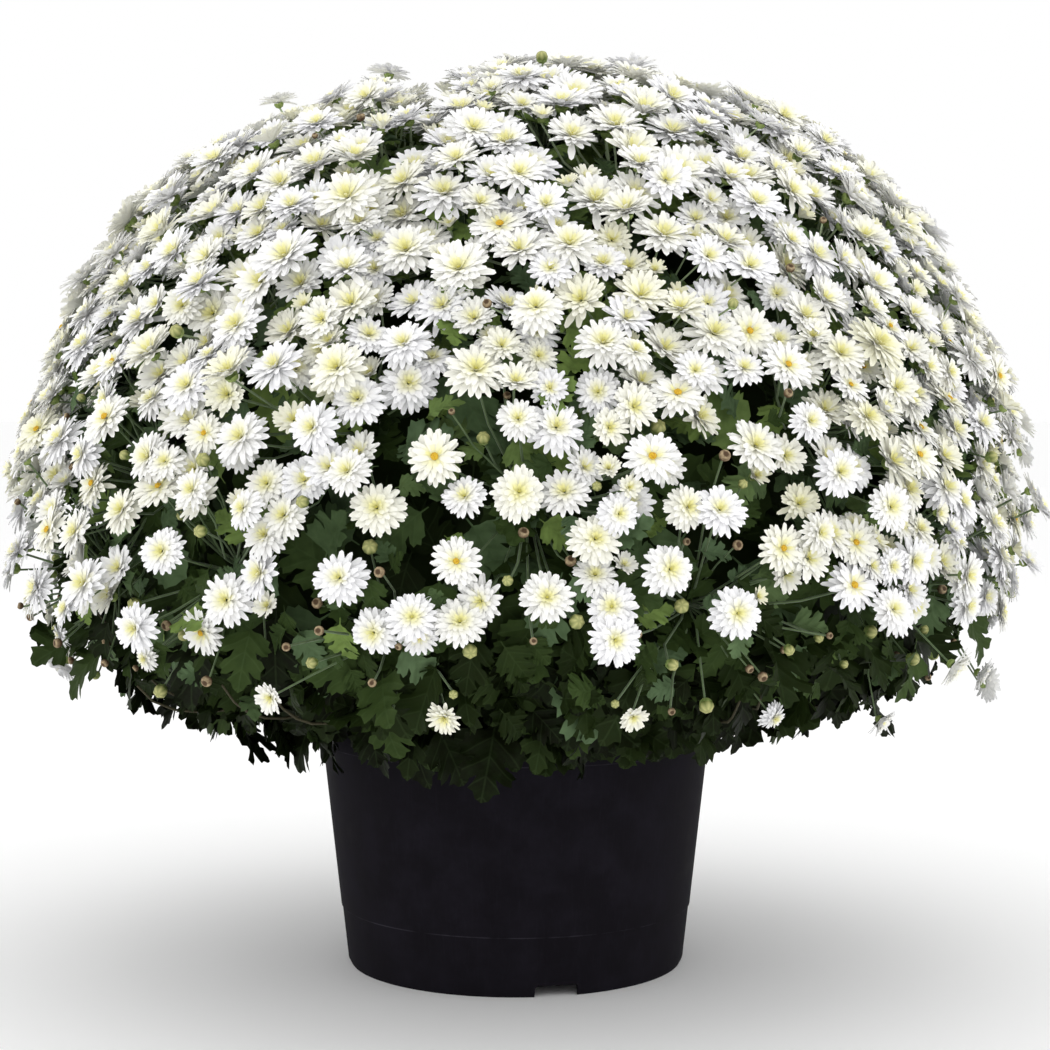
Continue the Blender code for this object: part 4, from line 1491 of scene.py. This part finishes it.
def pot_profile():
    """Half section of the pot: from the middle of its floor, up inside, over the rim and down."""
    rim_foot = POT_HEIGHT - RIM_BAND
    inner_floor = FLOOR_HEIGHT + POT_WALL
    foot_inside = FOOT_RADIUS - 2.0 * POT_WALL
    return [
        (0.0, inner_floor),
        (wall_radius(inner_floor) - POT_WALL, inner_floor),
        (RIM_RADIUS - RIM_STEP - POT_WALL, POT_HEIGHT),
        (RIM_RADIUS, POT_HEIGHT),
        (RIM_RADIUS, rim_foot),
        (wall_radius(rim_foot), rim_foot),
        (wall_radius(FOOT_BAND_TOP), FOOT_BAND_TOP),
        (wall_radius(FOOT_BAND_TOP) - FOOT_BAND_STEP, FOOT_BAND_TOP),
        (wall_radius(FOOT_ROUNDING) - FOOT_BAND_STEP, FOOT_ROUNDING),
        (FOOT_RADIUS - FOOT_BAND_STEP - 0.4 * FOOT_ROUNDING, 0.0),
        (foot_inside, 0.0),
        (foot_inside, FLOOR_HEIGHT),
        (0.0, FLOOR_HEIGHT),
    ]


def notch_cutter(turn):
    """Rounded block that cuts a drain notch into the foot ring."""
    cutter = new_piece("notch", bpy.ops.mesh.primitive_cube_add, size=1.0)
    begin_edit(cutter)
    pick_all()
    scale_about(ORIGIN, x=CUTTER_DEPTH[0], y=NOTCH_WIDTH, z=2.0 * NOTCH_HEIGHT)
    bpy.ops.mesh.bevel(offset=NOTCH_ROUNDING, segments=4, affect="EDGES")
    end_edit()
    seat = Matrix.Rotation(turn, 4, "Z") @ Matrix.Translation((FOOT_RADIUS, 0.0, 0.0))
    cutter.data.transform(seat)
    return cutter


def drain_cutter(turn):
    return new_piece(
        "drain",
        bpy.ops.mesh.primitive_cylinder_add,
        vertices=24,
        radius=DRAIN_RADIUS,
        depth=CUTTER_DEPTH[1],
        location=around(turn, DRAIN_CIRCLE, 0.01),
    )


def make_pot(finishes):
    pot = drawn_line("nursery_pot", [(radius, 0.0, height) for radius, height in pot_profile()])
    begin_edit(pot)
    pick_all()
    bpy.ops.mesh.spin(steps=POT_SIDES, angle=2.0 * math.pi, center=ORIGIN, axis=(0.0, 0.0, 1.0))
    pick_all()
    bpy.ops.mesh.remove_doubles(threshold=0.00001)
    bpy.ops.mesh.normals_make_consistent(inside=False)
    end_edit()
    notches = [math.radians(FIRST_NOTCH_DEG + 360.0 * k / NOTCH_COUNT) for k in range(NOTCH_COUNT)]
    drains = [2.0 * math.pi * (k + 0.5) / DRAIN_COUNT for k in range(DRAIN_COUNT)]
    cutters = [notch_cutter(turn) for turn in notches] + [drain_cutter(turn) for turn in drains]
    for cutter in cutters:
        cut = pot.modifiers.new("Cut", "BOOLEAN")
        cut.operation = "DIFFERENCE"
        cut.object = cutter
    bevel = pot.modifiers.new("Round edges", "BEVEL")
    bevel.width = EDGE_ROUNDING
    bevel.segments = 2
    bevel.limit_method = "ANGLE"
    bevel.angle_limit = math.radians(SHARP_DEG)
    apply_modifiers(pot)
    remove(cutters)
    smooth(pot, SHARP_DEG)
    paint(pot, finishes["pot"])
    finish_piece(pot, "black_plastic", "pot")


def soil_mound(reach, radius):
    """How far the soil is heaped up at a reach from its middle."""
    return SOIL_MOUND * min(1.0, 2.0 * (1.0 - reach / radius))


def make_soil(finishes):
    """Crumbled soil: a disc set in ring by ring, lifted into lumps, with loose crumbs on it."""
    floor = FLOOR_HEIGHT + POT_WALL
    share = (SOIL_TOP - floor) / (POT_HEIGHT - floor)
    bottom = wall_radius(floor) - POT_WALL
    radius = bottom + (RIM_RADIUS - RIM_STEP - POT_WALL - bottom) * share - SOIL_GAP
    depth = SOIL_TOP - floor - SOIL_GAP
    soil = new_piece(
        "peat_fill",
        bpy.ops.mesh.primitive_cone_add,
        vertices=SOIL_SIDES,
        radius1=bottom - SOIL_GAP,
        radius2=radius,
        depth=depth,
        location=(0.0, 0.0, SOIL_TOP - 0.5 * depth),
    )
    begin_edit(soil)
    bpy.ops.mesh.select_mode(type="FACE")
    shape = bmesh.from_edit_mesh(soil.data)
    bpy.ops.mesh.select_all(action="DESELECT")
    for face in shape.faces:
        face.select_set(face.normal.z > 0.9)
    bmesh.update_edit_mesh(soil.data)
    for _ in range(SOIL_RINGS):
        bpy.ops.mesh.inset(thickness=radius / (SOIL_RINGS + 1.0))
    end_edit()
    for point in soil.data.vertices:
        reach = point.co.xy.length
        if point.co.z > SOIL_TOP - 0.001 and reach < radius - 0.002:
            point.co.z += soil_mound(reach, radius) + SOIL_LUMP * lumps(point.co, SOIL_LUMPS)
    smooth(soil, 60.0)
    paint(soil, finishes["peat"])
    rng = random.Random(SOIL_SEED)
    crumb = new_piece("crumb", bpy.ops.mesh.primitive_ico_sphere_add, subdivisions=1, radius=1.0)
    paint(crumb, finishes["peat"])
    parts = [soil]
    for _ in range(CRUMBS):
        turn, reach = rng.uniform(*ANY_TURN), (radius - CRUMB_INSET) * math.sqrt(rng.random())
        size = rng.uniform(*CRUMB_SIZE)
        place = around(turn, reach, SOIL_TOP + soil_mound(reach, radius))
        sides = (size, size * rng.uniform(0.5, 1.0), size * rng.uniform(0.4, 0.8), 1.0)
        lying = frame_along(random_vector(rng), 0.0, place) @ Matrix.Diagonal(sides)
        parts.append(copy_of(crumb, lying))
    remove([crumb])
    finish_piece(join("peat_fill", parts), "peat", "potting_soil")


# ---- Stage, light and camera

def make_stage():
    floor = new_piece("floor", bpy.ops.mesh.primitive_plane_add, size=60.0)
    paint(floor, floor_finish())


def make_light():
    world = bpy.data.worlds.new("studio")
    bpy.context.scene.world = world
    world.use_nodes = True
    background = world.node_tree.nodes["Background"]
    background.inputs["Color"].default_value = colour("#FFFFFF")
    background.inputs["Strength"].default_value = 1.0
    for name, (place, size, power) in LIGHTS.items():
        deselect()
        bpy.ops.object.light_add(type="AREA", location=place)
        light = bpy.context.object
        light.name = name
        light.data.size = size
        light.data.energy = power
        light.rotation_euler = (DOME_CENTRE - Vector(place)).to_track_quat("-Z", "Y").to_euler()


def make_camera():
    deselect()
    bpy.ops.object.camera_add(location=CAMERA_PLACE)
    camera = bpy.context.object
    pitch, yaw = math.radians(90.0 + CAMERA_PITCH_DEG), math.radians(CAMERA_YAW_DEG)
    camera.rotation_euler = (pitch, 0.0, yaw)
    camera.data.sensor_width = CAMERA_FILM
    camera.data.lens = CAMERA_LENS
    bpy.context.scene.camera = camera
    bpy.context.scene.view_settings.view_transform = "Standard"


def main():
    finishes = {
        "petal": petal_finish(),
        "disc": disc_finish(),
        "leaf": leaf_finish(),
        "stalk": stalk_finish(),
        "bract": bract_finish(),
        "bud": bud_finish(),
        "spent": spent_finish(),
        "bark": bark_finish(),
        "pot": pot_finish(),
        "peat": peat_finish(),
    }
    make_camera()
    make_stage()
    make_light()
    make_pot(finishes)
    make_soil(finishes)
    core_tree = make_core(finishes)
    make_woody_stems(core_tree, finishes)
    middles = make_sprays(finishes)
    make_leaves(middles, finishes)


main()
